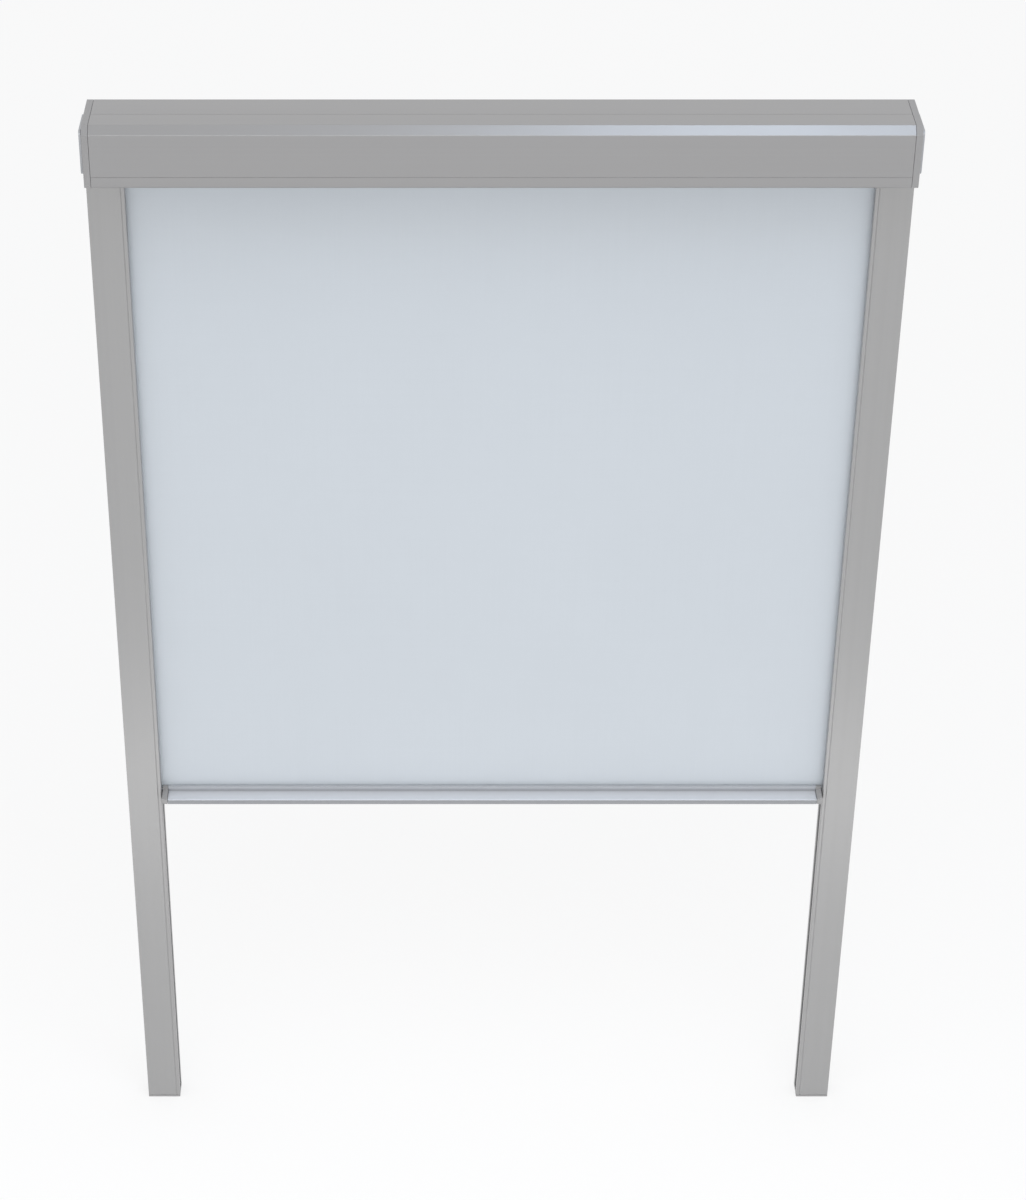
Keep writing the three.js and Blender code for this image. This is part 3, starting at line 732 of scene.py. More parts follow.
@dataclass(frozen=True)
class Finish:
    """A surface finish: its name, the slot that it belongs to and its colour, in linear light."""

    name: str
    slot: str
    colour: tuple[float, float, float]
    roughness: float
    metallic: float = 0.0
    spread: float = 0.0
    unevenness: float = 0.0

    def tinted(self, gain: float) -> tuple[float, ...]:
        """The colour made lighter or darker, with alpha."""
        return (*(min(1.0, c * gain) for c in self.colour), 1.0)

    def toned(self, shader: Shader, tone: NodeSocket) -> NodeSocket:
        """The colour, a little darker and a little lighter by a tone."""
        return shader.mixed(tone, self.tinted(1 - self.spread), self.tinted(1 + self.spread))

    def roughened(self, shader: Shader, tone: NodeSocket) -> NodeSocket:
        """The roughness, a little less and a little more by a tone."""
        return shader.ranged(tone, 0, 1, self.roughness - self.unevenness, self.roughness + self.unevenness)

    def rubbed(self, shader: Shader, body: NodeSocket, wear: float, gain: float) -> NodeSocket:
        """The colour, lighter where the broken edges are worn."""
        mask = shader.node("Group", {"Amount": wear}, node_tree=edge_wear()).outputs["Mask"]
        return shader.mixed(mask, body, self.tinted(gain))

    def material(self) -> Material:
        """Find or build the finish's material.

        Returns:
            The material.
        """
        found = bpy.data.materials.get(self.name)
        if found is not None:
            return found
        made = bpy.data.materials.new(self.name)
        made.use_nodes = True
        shader = Shader(made.node_tree)
        plain = {"Metallic": self.metallic, "Roughness": self.roughness}
        surface = shader.node("BsdfPrincipled", {**plain, **self.dressed(shader)})
        shader.node("OutputMaterial", {"Surface": surface.outputs["BSDF"]}).is_active_output = True
        return made

    def dressed(self, shader: Shader) -> dict[str, object]:
        """What goes into the surface's sockets."""
        raise NotImplementedError


@dataclass(frozen=True)
class DrawnMetal(Finish):
    """Aluminium drawn through a die: lines along its length, a fine lacquer grain and rubbed edges."""

    axis: Axis = Axis.X
    spread: float = 0.012
    unevenness: float = 0.008
    line_pitch: float = 0.5 * MM
    line_length: float = 200 * MM
    line_depth: float = 0.004 * MM
    grain_scale: float = 2600
    grain_depth: float = 0.003 * MM
    wear: float = 0.35
    worn_gain: float = 1.25
    # Gain of the painted highlight's lighter colour; 1 paints none.
    polish: float = 1.0

    def dressed(self, shader: Shader) -> dict[str, object]:
        """What goes into the surface's sockets: lines, grain, wear, and a painted highlight where an attribute
        marks it.

        Args:
            shader: The material's nodes.

        Returns:
            An output or a value for each socket.
        """
        stretch = self.axis.point(1 / self.line_length, 1 / self.line_pitch, 1 / self.line_pitch)
        lines = shader.node("Group", {"Stretch": stretch}, node_tree=draw_lines()).outputs
        grain = shader.node("Group", {"Scale": self.grain_scale}, node_tree=fine_grain()).outputs
        colour = self.rubbed(shader, self.toned(shader, lines["Tone"]), self.wear, self.worn_gain)
        # Painted highlight: where the mesh attribute marks it, the colour is lightened by this gain, standing in
        # for light on the surface.
        if self.polish > 1:
            highlight_share = shader.node("Attribute", attribute_name=PAINTED_HIGHLIGHT_ATTRIBUTE).outputs["Fac"]
            colour = shader.mixed(highlight_share, colour, self.tinted(self.polish))
        drawn = shader.bump(lines["Height"], self.line_depth)
        return {
            "Base Color": colour,
            "Roughness": self.roughened(shader, grain["Tone"]),
            "Normal": shader.bump(grain["Height"], self.grain_depth, Normal=drawn),
        }


@dataclass(frozen=True)
class Grained(Finish):
    """Moulded plastic: a grain in colour, gloss and relief, and edges that shine a little."""

    spread: float = 0.03
    unevenness: float = 0.05
    grain_scale: float = 2200
    grain_depth: float = 0.012 * MM
    wear: float = 0.2
    worn_gain: float = 1.2

    def dressed(self, shader: Shader) -> dict[str, object]:
        """What goes into the surface's sockets: grain and wear.

        Args:
            shader: The material's nodes.

        Returns:
            An output or a value for each socket.
        """
        grain = shader.node("Group", {"Scale": self.grain_scale}, node_tree=fine_grain()).outputs
        return {
            "Base Color": self.rubbed(shader, self.toned(shader, grain["Tone"]), self.wear, self.worn_gain),
            "Roughness": self.roughened(shader, grain["Tone"]),
            "Normal": shader.bump(grain["Height"], self.grain_depth),
        }


@dataclass(frozen=True)
class Plated(Grained):
    """Plated or oiled steel: cloudier and finer, with no wear."""

    spread: float = 0.08
    unevenness: float = 0.07
    grain_scale: float = 3000
    grain_depth: float = 0.004 * MM
    wear: float = 0.0


@dataclass(frozen=True)
class Weave(Finish):
    """Coated blackout cloth: a fine plain weave under the coating, with slubs along both threads."""

    spread: float = 0.012
    thread: float = 0.42 * MM
    relief: float = 0.035 * MM
    weave_share: float = 0.6
    slub_share: float = 0.5
    slubs_along: float = 6.0
    slubs_across: float = 900.0
    cloud_scale: float = 5
    sheen: float = 0.12
    sheen_roughness: float = 0.5
    shine: float = 0.25

    def dressed(self, shader: Shader) -> dict[str, object]:
        """What goes into the surface's sockets: threads, slubs, a faint cloud and a sheen.

        Args:
            shader: The material's nodes.

        Returns:
            An output or a value for each socket.
        """
        place = shader.node("UVMap", uv_map=CLOTH_UV).outputs["UV"]
        parts = shader.node("SeparateXYZ", {0: place}).outputs
        turn = math.pi / self.thread
        waves = [shader.math("SINE", shader.math("MULTIPLY", parts[name], turn)) for name in ("X", "Y")]
        crossing = shader.ranged(shader.math("MULTIPLY", *waves), -1, 1)
        slubs = []
        long, fine = self.slubs_along, self.slubs_across
        for stretch in ((long, fine, 1.0), (fine, long, 1.0)):
            threads = shader.node("VectorMath", {0: place, 1: stretch}, operation="MULTIPLY")
            slubs.append(shader.noise(threads.outputs[0], 1, detail=2))
        slub = shader.math("ADD", *slubs)
        cloud = shader.noise(place, self.cloud_scale, detail=3)
        half_tones = (shader.ranged(slub, 0.7, 1.3, most=0.5), shader.ranged(cloud, *NOISE_RANGE, most=0.5))
        weave = shader.bump(crossing, self.relief, self.weave_share)
        return {
            "Base Color": self.toned(shader, shader.math("ADD", *half_tones)),
            "Sheen Weight": self.sheen,
            "Sheen Roughness": self.sheen_roughness,
            "Specular IOR Level": self.shine,
            "Normal": shader.bump(slub, self.relief, self.slub_share, Normal=weave),
        }


@dataclass(frozen=True)
class Fibre(Finish):
    """Pile, bristle or felt: dull, with light and dark hairs."""

    spread: float = 0.3
    grain_scale: float = 1400
    relief: float = 0.05 * MM
    sheen: float = 0.3
    shine: float = 0.1

    def dressed(self, shader: Shader) -> dict[str, object]:
        """What goes into the surface's sockets: hairs and a sheen.

        Args:
            shader: The material's nodes.

        Returns:
            An output or a value for each socket.
        """
        hairs = shader.node("Group", {"Scale": self.grain_scale}, node_tree=fine_grain()).outputs["Height"]
        return {
            "Base Color": self.toned(shader, hairs),
            "Sheen Weight": self.sheen,
            "Specular IOR Level": self.shine,
            "Normal": shader.bump(hairs, self.relief),
        }


SATIN_SLOT = "satin_aluminium"
MILL_SLOT = "mill_aluminium"
SATIN_ACROSS = DrawnMetal("satin_across", SATIN_SLOT, (0.35, 0.347, 0.35), 0.33, 0.8)
SATIN_UPRIGHT = DrawnMetal("satin_upright", SATIN_SLOT, (0.375, 0.373, 0.373), 0.36, 0.6, axis=Axis.Z)
# The bar's finish paints light and shade. Its base is darker than the cassette's to paint shade on the lip, back
# and underside, and marked faces get a painted highlight.
SATIN_PAINTED_LIGHT = DrawnMetal("satin_painted_light", SATIN_SLOT, (0.285, 0.293, 0.308), 0.4, 0.25, polish=3.0)
MILL = DrawnMetal("mill_finish", MILL_SLOT, (0.68, 0.68, 0.69), 0.3, 0.95, line_depth=0.008 * MM, wear=0.0)
GREY_PLASTIC = Grained("moulded_grey", "grey_plastic", (0.33, 0.325, 0.325), 0.5)
DARK_PLASTIC = Grained("moulded_dark", "dark_plastic", (0.03, 0.03, 0.032), 0.5)
NYLON = Grained("moulded_nylon", "nylon", (0.7, 0.69, 0.65), 0.45, grain_depth=0.006 * MM)
ZINC = Plated("zinc_plate", "zinc_steel", (0.42, 0.43, 0.45), 0.39, 0.9)
SPRING_STEEL = Plated("oiled_spring_steel", "spring_steel", (0.22, 0.22, 0.23), 0.31, 0.9)
CLOTH = Weave("woven_cloth", "blind_fabric", (0.575, 0.614, 0.654), 0.8)
GREY_PILE = Fibre("grey_tufts", "grey_pile", (0.16, 0.16, 0.165), 0.95)
FELT = Fibre("pressed_felt", "felt", (0.03, 0.03, 0.03), 1.0, grain_scale=900)


# Pieces


def add_piece(
    name: str, bm: BMesh, finish: Finish, body: Body | None, node: str, weighted: bool = True
) -> Object:
    """Make a finished piece from a mesh.

    Args:
        name: The piece's name.
        bm: Its mesh, which is freed.
        finish: Its surface finish.
        body: The body it rides on, or None where it is blended later.
        node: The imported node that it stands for.
        weighted: Whether large flat faces keep a flat shade beside small rounds.

    Returns:
        The piece.
    """
    mesh = as_mesh(bm, name)
    one_surface = math.radians(38)
    mesh.shade_smooth()
    mesh.set_sharp_from_angle(angle=one_surface)
    mesh.materials.append(finish.material())
    thing = linked(name, mesh)
    if weighted:
        modifier = thing.modifiers.new("flat_faces", "WEIGHTED_NORMAL")
        modifier.keep_sharp = True
    if body is not None:
        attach(thing, body.value)
    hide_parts(node)
    log.info("%s: %d faces, %s", name, len(mesh.polygons), finish.slot)
    return thing


def add_softened(name: str, node: str, width: float, finish: Finish, body: Body) -> None:
    """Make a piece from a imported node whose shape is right, with its sharp edges broken to a width."""
    add_piece(name, softened(copied_node(node), width), finish, body, node)


def add_spring(name: str, node: str, body: Body, radius: float, wire: float, turns: int) -> None:
    """Wind a wire into a coil along X, in its node's place.

    Args:
        name: The piece's name.
        node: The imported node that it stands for.
        body: The body it rides on.
        radius: From the axis to the middle of the wire.
        wire: The wire's radius.
        turns: How many turns it has.
    """
    low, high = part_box(node)
    centre = axis_point(node, low.x)
    steps_a_turn = 24
    steps = turns * steps_a_turn
    bm = bmesh.new()
    ring = bmesh.ops.create_circle(bm, cap_ends=False, radius=wire, segments=8)["verts"]
    bmesh.ops.rotate(bm, verts=ring, cent=(0, 0, 0), matrix=QUARTER_TURN)
    bmesh.ops.translate(bm, verts=ring, vec=centre + Vector((wire, 0, radius)))
    pitch = (high.x - low.x - 2 * wire) / steps
    spun(bm, bm.verts[:] + bm.edges[:], centre, 2 * math.pi * turns, steps, pitch)
    add_piece(name, closed(bm), SPRING_STEEL, body, node, weighted=False)


@dataclass(frozen=True)
class Tufting:
    """Pile or bristles set in rows on a backing.

    A tile of tufts is made once, with leans drawn from a seed, and repeated along the strip.
    """

    thickness: float
    spacing: float
    rows: int
    row_spacing: float
    lean: float
    seed: int
    backing: float
    backing_break: float = 0.0
    sides: int = 3
    tile: int = 16
    jitter: float = 0.3
    stagger: float = 0.2
    shortest: float = 0.9

    def build(self, name: str, node: str, axis: Axis, pointing: Vector, body: Body) -> None:
        """Make a strip in its node's place.

        Args:
            name: The piece's name.
            node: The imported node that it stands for.
            axis: The direction that the rows run in.
            pointing: The direction that the tufts grow in.
            body: The body it rides on.
        """
        low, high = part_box(node)
        run = axis.value[0]
        up = next(i for i, part in enumerate(pointing) if part)
        seat = low[up] if pointing[up] > 0 else high[up]
        rooted = seat + pointing[up] * self.backing
        root = Vector([(a + b) / 2 for a, b in zip(low, high)])
        root[up] = rooted
        root[run] = 0
        length = high[up] - low[up] - self.backing
        tufts = self.tufts(axis, low[run], high[run], root, pointing, length)
        low[up], high[up] = sorted((seat, rooted))
        strip = bmesh.new()
        bmesh.ops.create_cube(strip, size=1)
        bmesh.ops.scale(strip, vec=high - low, verts=strip.verts)
        bmesh.ops.translate(strip, vec=(low + high) / 2, verts=strip.verts)
        if self.backing_break > 0:
            softened(strip, self.backing_break)
        add_piece(name, joined(strip, tufts), GREY_PILE, body, node, weighted=False)

    def tufts(
        self, axis: Axis, start: float, end: float, root: Vector, pointing: Vector, length: float
    ) -> BMesh:
        """Set the tufts along a line.

        Args:
            axis: The direction that the rows run in.
            start: Where the rows start along the axis.
            end: Where they end.
            root: The point abreast of the origin that the middle row passes.
            pointing: The direction that they grow in.
            length: The length of the longest.

        Returns:
            The mesh of all tufts.
        """
        rng = random.Random(self.seed)
        across = axis.direction.cross(pointing).normalized()
        bm = bmesh.new()
        for column in range(self.tile):
            for row in range(self.rows):
                sideways = (row - (self.rows - 1) / 2) * self.row_spacing
                jitter = self.spacing * rng.uniform(-self.jitter, self.jitter)
                sideways += self.row_spacing * rng.uniform(-self.stagger, self.stagger)
                along = start + (column + 0.5) * self.spacing + jitter
                place = root + axis.direction * along + across * sideways
                leans = [rng.uniform(-self.lean, self.lean) for _ in range(2)]
                grown = (pointing + axis.direction * leans[0] + across * leans[1]).normalized()
                reach = length * rng.uniform(self.shortest, 1.0)
                turn = Vector((0, 0, 1)).rotation_difference(grown).to_matrix().to_4x4()
                bmesh.ops.create_cone(
                    bm,
                    cap_ends=True,
                    segments=self.sides,
                    radius1=self.thickness / 2,
                    radius2=self.thickness / 4,
                    depth=reach,
                    matrix=Matrix.Translation(place + grown * reach / 2) @ turn,
                )
        tile_length = self.tile * self.spacing
        tiles = max(1, int((end - start) / tile_length))
        stretch = (end - start) / (tiles * tile_length)
        mesh = bpy.data.meshes.new("passing")
        bm.to_mesh(mesh)
        for _ in range(1, tiles):
            mesh.transform(Matrix.Translation(axis.direction * tile_length))
            bm.from_mesh(mesh)
        bpy.data.meshes.remove(mesh)
        squeeze = Vector((1, 1, 1)) + axis.direction * (stretch - 1)
        about = Matrix.Translation(-axis.direction * start)
        bmesh.ops.scale(bm, vec=squeeze, verts=bm.verts, space=about)
        return bm


# The blind


@dataclass
class Cassette:
    """The box across the top: two profiles, end caps, brush, screws and brackets."""

    gap: float = 0.3 * MM
    wall: float = 1.6 * MM
    shoulder: float = 6 * MM
    shoulder_radius: float = 0.6 * MM
    lower_radius: float = 2.4 * MM
    lap: float = 28.3 * MM
    slot_lip: float = 5 * MM
    rear_lip: float = 5 * MM
    groove_height: float = 9.6 * MM
    groove_half: float = 0.4 * MM
    groove_depth: float = 0.3 * MM
    groove_floor: float = 0.15 * MM
    port_radius: float = 3.1 * MM
    port_bore: float = 1.5 * MM
    port_slit: float = math.radians(60)
    port_sink: float = 0.3 * MM
    port_steps: int = 20
    end_break: float = 0.15 * MM
    cap_break: float = 0.25 * MM
    bracket_break: float = 0.2 * MM
    bristles: Tufting = Tufting(
        thickness=0.35 * MM,
        spacing=0.9 * MM,
        rows=7,
        row_spacing=0.6 * MM,
        lean=0.03,
        seed=11,
        backing=1.2 * MM,
        backing_break=0.1 * MM,
        sides=4,
    )

    def build(self) -> None:
        """Make every piece of the cassette."""
        self.cover()
        self.back()
        self.bristles.build("slot_brush", "cassette_slot_brush", Axis.X, Vector((0, 1, 0)), Body.FRAME)
        for side in Side:
            end = side.suffix
            add_softened(f"end_cap{end}", f"cassette_end_cap{end}", self.cap_break, GREY_PLASTIC, Body.FRAME)
            add_softened(f"side_bracket{end}", f"mounting_bracket{end}", self.bracket_break, ZINC, Body.FRAME)
            for place in ("upper", "lower", "front"):
                Screw(f"cap_screw_{place}{end}", side).build()

    def ported(
        self, shell: BMesh, across: float, up: float, facing: float, ends: tuple[float, float]
    ) -> BMesh:
        """Add a screw port to a profile: a tube with a slit, inside a corner.

        Args:
            shell: The profile, which is freed.
            across: The middle of the port's bore, along Y.
            up: The middle of its bore, along Z.
            facing: The direction that its slit opens in, in degrees.
            ends: Where it starts and ends along X.

        Returns:
            The profile with its port.
        """
        start, end = ends
        first = math.radians(facing) + self.port_slit / 2
        centre = Vector((0, across, up))
        section = (
            (start, self.port_bore),
            (end, self.port_bore),
            (end, self.port_radius),
            (start, self.port_radius),
        )
        places = [centre + Vector((x, out * math.cos(first), out * math.sin(first))) for x, out in section]
        port = swept(places, centre, 2 * math.pi - self.port_slit, self.port_steps)
        return combined(shell, port, Combine.JOIN)

    def cover(self) -> None:
        """The front profile: top, sloping shoulder, face with a fine groove, and the slot's front lip."""
        low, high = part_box("cassette_cover")
        line = (
            Corner(-self.lap, high.z),
            Corner(low.y + self.shoulder, high.z, self.shoulder_radius),
            Corner(low.y, high.z - self.shoulder, self.shoulder_radius),
            Corner(low.y, low.z, self.lower_radius),
            Corner(high.y, low.z, self.end_break),
            Corner(high.y, low.z + self.slot_lip),
        )
        shell = drawn_wall(Axis.X, line, self.wall, low.x, high.x)
        reach = self.wall + self.port_radius - self.port_sink
        shell = self.ported(shell, low.y + reach, low.z + reach, 45, (low.x, high.x))
        middle = low.z + self.groove_height
        past = self.end_break
        section = (
            Corner(low.y + self.groove_depth, middle - self.groove_floor),
            Corner(low.y + self.groove_depth, middle + self.groove_floor),
            Corner(low.y - past, middle + self.groove_half),
            Corner(low.y - past, middle - self.groove_half),
        )
        groove = drawn_outline(Axis.X, section, low.x - past, high.x + past)
        shell = softened(combined(shell, groove, Combine.CUT), self.end_break)
        add_piece("cover_profile", shell, SATIN_ACROSS, Body.FRAME, "cassette_cover")

    def back(self) -> None:
        """The rear profile: foot, back with two ports, top and the tongue under the cover."""
        low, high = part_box("cassette_back")
        tongue = high.z - self.wall - self.gap
        line = (
            Corner(-self.rear_lip, low.z),
            Corner(0, low.z, self.shoulder_radius),
            Corner(0, high.z, self.shoulder_radius),
            Corner(self.gap - self.lap, high.z),
            Corner(self.gap - self.lap, tongue),
            Corner(low.y, tongue),
        )
        shell = drawn_wall(Axis.X, line, self.wall, low.x, high.x)
        reach = self.wall + self.port_radius - self.port_sink
        for up, facing in ((high.z - reach, 225), (low.z + reach, 135)):
            shell = self.ported(shell, -reach, up, facing, (low.x, high.x))
        add_piece("back_profile", softened(shell, self.end_break), SATIN_ACROSS, Body.FRAME, "cassette_back")


@dataclass
class Screw:
    """A countersunk cross-head screw that cuts its thread in a port."""

    node: str
    side: Side
    head_radius: float = 2.7 * MM
    head_height: float = 1.7 * MM
    head_rim: float = 0.5 * MM
    head_break: float = 0.12 * MM
    tip: float = 1.5 * MM
    core_radius: float = 0.95 * MM
    thread_radius: float = 1.15 * MM
    thread_pitch: float = 1.1 * MM
    thread_root: float = 0.9
    thread_steps: int = 16
    round_steps: int = 32
    recess_reach: float = 1.6 * MM
    recess_half: float = 0.35 * MM
    recess_depth: float = 1.1 * MM
    recess_taper: tuple[float, float, float] = (1, 0.35, 0.6)

    def build(self) -> None:
        """Make the screw in its node's place."""
        low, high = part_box(self.node)
        shank = high.x - low.x - self.tip
        centre = axis_point(self.node)
        profile = (
            (0, 0),
            (0, self.head_radius),
            (-self.head_rim, self.head_radius),
            (-self.head_height, self.core_radius),
            (-shank, self.core_radius),
            (-shank - self.tip, 0),
        )
        bm = bmesh.new()
        verts, edges = chain(bm, [centre + Vector((along, 0, out)) for along, out in profile])
        spun(bm, verts + edges, centre, 2 * math.pi, self.round_steps)
        body = softened(combined(tidied(bm), self.recess(centre), Combine.CUT), self.head_break)
        screw = joined(body, self.thread(centre, shank))
        end = high.x if self.side is Side.RIGHT else -low.x
        bmesh.ops.translate(screw, verts=screw.verts, vec=(end, 0, 0))
        add_piece(f"{self.node}_steel", sided(screw, self.side), ZINC, Body.FRAME, self.node)

    def recess(self, centre: Vector) -> BMesh:
        """Make the cross that the driver fits, narrowing with depth.

        Args:
            centre: The middle of the head's face.

        Returns:
            The closed mesh to cut with.
        """
        bm = bmesh.new()
        for turn in range(2):
            bar = bmesh.ops.create_cube(bm, size=1)["verts"]
            sizes = (self.recess_depth * 2, self.recess_reach * 2, self.recess_half * 2)
            bmesh.ops.scale(bm, verts=bar, vec=sizes)
            bmesh.ops.scale(bm, verts=[v for v in bar if v.co.x < 0], vec=self.recess_taper)
            turned = Matrix.Rotation(turn * math.pi / 2, 3, "X")
            bmesh.ops.rotate(bm, verts=bar, cent=(0, 0, 0), matrix=turned)
        bmesh.ops.translate(bm, verts=bm.verts, vec=centre)
        return bm

    def thread(self, centre: Vector, end: float) -> BMesh:
        """Wind a ridge along the shank.

        Args:
            centre: The middle of the head's face.
            end: How far from there the ridge ends.

        Returns:
            The closed mesh.
        """
        start = self.head_height + self.thread_pitch / 2
        turns = (end - start) / self.thread_pitch
        sunk = self.core_radius * self.thread_root
        half = self.thread_pitch / 4
        section = ((-half, sunk), (0, self.thread_radius), (half, sunk))
        places = [centre + Vector((x - start, 0, out)) for x, out in section]
        pitch = -self.thread_pitch / self.thread_steps
        return swept(places, centre, 2 * math.pi * turns, round(turns * self.thread_steps), pitch)


@dataclass
class Channels:
    """The side channels: a base and a cover each, with pile seals, top plugs and feet."""

    gap: float = 0.3 * MM
    wall: float = 1.3 * MM
    slot_front: float = -13.8 * MM
    slot_rear: float = -5.2 * MM
    flange: float = 6.5 * MM
    clip_wall: float = 1.2 * MM
    clip_barb: float = 0.25 * MM
    nose_radius: float = 1.1 * MM
    edge_radius: float = 0.8 * MM
    line_inset: float = 3.2 * MM
    line_half: float = 0.5 * MM
    line_depth: float = 0.45 * MM
    end_break: float = 0.15 * MM
    plug_break: float = 0.25 * MM
    foot_break: float = 0.3 * MM
    pile: Tufting = Tufting(
        thickness=0.5 * MM,
        spacing=1.1 * MM,
        rows=4,
        row_spacing=0.95 * MM,
        lean=0.12,
        seed=5,
        backing=0.7 * MM,
    )

    def build(self) -> None:
        """Make every piece of both channels."""
        for side in Side:
            end = side.suffix
            for shape, name, node in (
                (self.base, "base_profile", "channel_base"),
                (self.cover, "cover_profile", "channel_cover"),
            ):
                low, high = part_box(node + end)
                near, far = sorted((abs(low.x), abs(high.x)))
                bm = shape(Vector((near, low.y, low.z)), Vector((far, high.y, high.z)))
                bm = sided(softened(bm, self.end_break), side)
                add_piece(name + end, bm, SATIN_UPRIGHT, Body.FRAME, node + end)
            for place, way in (("rear", -1), ("front", 1)):
                node = f"pile_seal_{place}{end}"
                self.pile.build(f"pile_{place}{end}", node, Axis.Z, Vector((0, way, 0)), Body.FRAME)
            for node, width in (("channel_top_plug", self.plug_break), ("channel_foot", self.foot_break)):
                add_softened(f"{node}{end}_moulded", node + end, width, GREY_PLASTIC, Body.FRAME)

    def base(self, low: Vector, high: Vector) -> BMesh:
        """Draw the right-hand base profile, which lies against the opening.

        Args:
            low: The lowest corner of its box.
            high: The highest corner of its box.

        Returns:
            The closed mesh.
        """
        line = (
            Corner(low.x + self.flange, self.slot_rear),
            Corner(low.x, self.slot_rear),
            Corner(low.x, high.y, self.edge_radius),
            Corner(high.x, high.y, self.edge_radius),
            Corner(high.x, low.y),
        )
        return drawn_wall(Axis.Z, line, -self.wall, low.z, high.z)

    def cover(self, low: Vector, high: Vector) -> BMesh:
        """Draw the right-hand clip-on cover: face with a fine line beside its rounded nose.

        Args:
            low: The lowest corner of its box.
            high: The highest corner of its box.

        Returns:
            The closed mesh.
        """
        line = (
            Corner(low.x + self.flange, self.slot_front),
            Corner(low.x, self.slot_front),
            Corner(low.x, low.y, self.nose_radius),
            Corner(high.x, low.y),
        )
        shape = drawn_wall(Axis.Z, line, self.wall, low.z, high.z)
        outer = high.x - self.wall - self.gap
        inner = outer - self.clip_wall
        root = low.y + self.wall / 2
        tip = high.y
        section = (
            Corner(inner, root),
            Corner(outer, root),
            Corner(outer, tip - 2 * self.clip_wall),
            Corner(outer + self.clip_barb, tip - self.clip_wall),
            Corner(outer, tip),
            Corner(inner, tip),
        )
        shape = combined(shape, drawn_outline(Axis.Z, section, low.z, high.z), Combine.JOIN)
        past = self.end_break
        middle = low.x + self.line_inset
        spread = self.line_half * (self.line_depth + past) / self.line_depth
        section = (
            Corner(middle, low.y + self.line_depth),
            Corner(middle - spread, low.y - past),
            Corner(middle + spread, low.y - past),
        )
        groove = drawn_outline(Axis.Z, section, low.z - past, high.z + past)
        return combined(shape, groove, Combine.CUT)


@dataclass
class Roller:
    """The roller: tube, cloth wound on it, plugs, bushes, pin, shaft and spring motor."""

    cloth: float = 0.28 * MM
    turns: float = 5.05
    steps_a_turn: int = 72
    lengths: int = 8
    edge_break: float = 0.2 * MM
    spring_radius: float = 8 * MM
    spring_wire: float = 0.7 * MM
    spring_turns: int = 34

    def build(self) -> None:
        """Make every piece of the roller."""
        self.wound_cloth()
        turning = {
            "roller_tube": MILL,
            "tube_keder": NYLON,
            "idle_plug": DARK_PLASTIC,
            "idle_bush": NYLON,
            "bearing_plug": DARK_PLASTIC,
            "spring_driver": DARK_PLASTIC,
        }
        fixed = {"shaft_bush": NYLON, "idle_pin": ZINC, "fixed_shaft": ZINC, "spring_collar": DARK_PLASTIC}
        for body, finishes in ((Body.ROLLER, turning), (Body.FRAME, fixed)):
            for node, finish in finishes.items():
                add_softened(f"{node}_turned", node, self.edge_break, finish, body)
        sizes = (self.spring_radius, self.spring_wire, self.spring_turns)
        add_spring("motor_spring", "torsion_spring", Body.FRAME, *sizes)

    def wound_cloth(self) -> None:
        """The stored cloth, wound on the tube in one spiral."""
        low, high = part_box("fabric_roll")
        centre = axis_point("fabric_roll")
        outer = (high.y - low.y) / 2 - self.cloth
        tube_low, tube_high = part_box("roller_tube")
        inner = (tube_high.z - tube_low.z) / 2 + self.cloth
        steps = round(self.turns * self.steps_a_turn)
        width = high.x - low.x
        places = [low.x + width * i / self.lengths for i in range(self.lengths + 1)]
        bm = bmesh.new()
        verts, edges = chain(bm, [(x, centre.y + inner, centre.z) for x in places])
        spun(bm, verts + edges, centre, 2 * math.pi * self.turns, steps)
        bm.verts.ensure_lookup_table()
        length = 0.0
        row = len(places)
        run = {}
        for step in range(steps + 1):
            radius = inner + (outer - inner) * step / steps
            for vert in bm.verts[step * row : (step + 1) * row]:
                arm = vert.co - centre
                arm.x = 0
                vert.co += arm.normalized() * (radius - arm.length)
                run[vert.index] = length
            length += 2 * math.pi * radius / self.steps_a_turn
        laid_out(bm, lambda vert: run[vert.index])
        roll = add_piece("wound_cloth", bm, CLOTH, Body.ROLLER, "fabric_roll", weighted=False)
        thicken(roll, self.cloth)


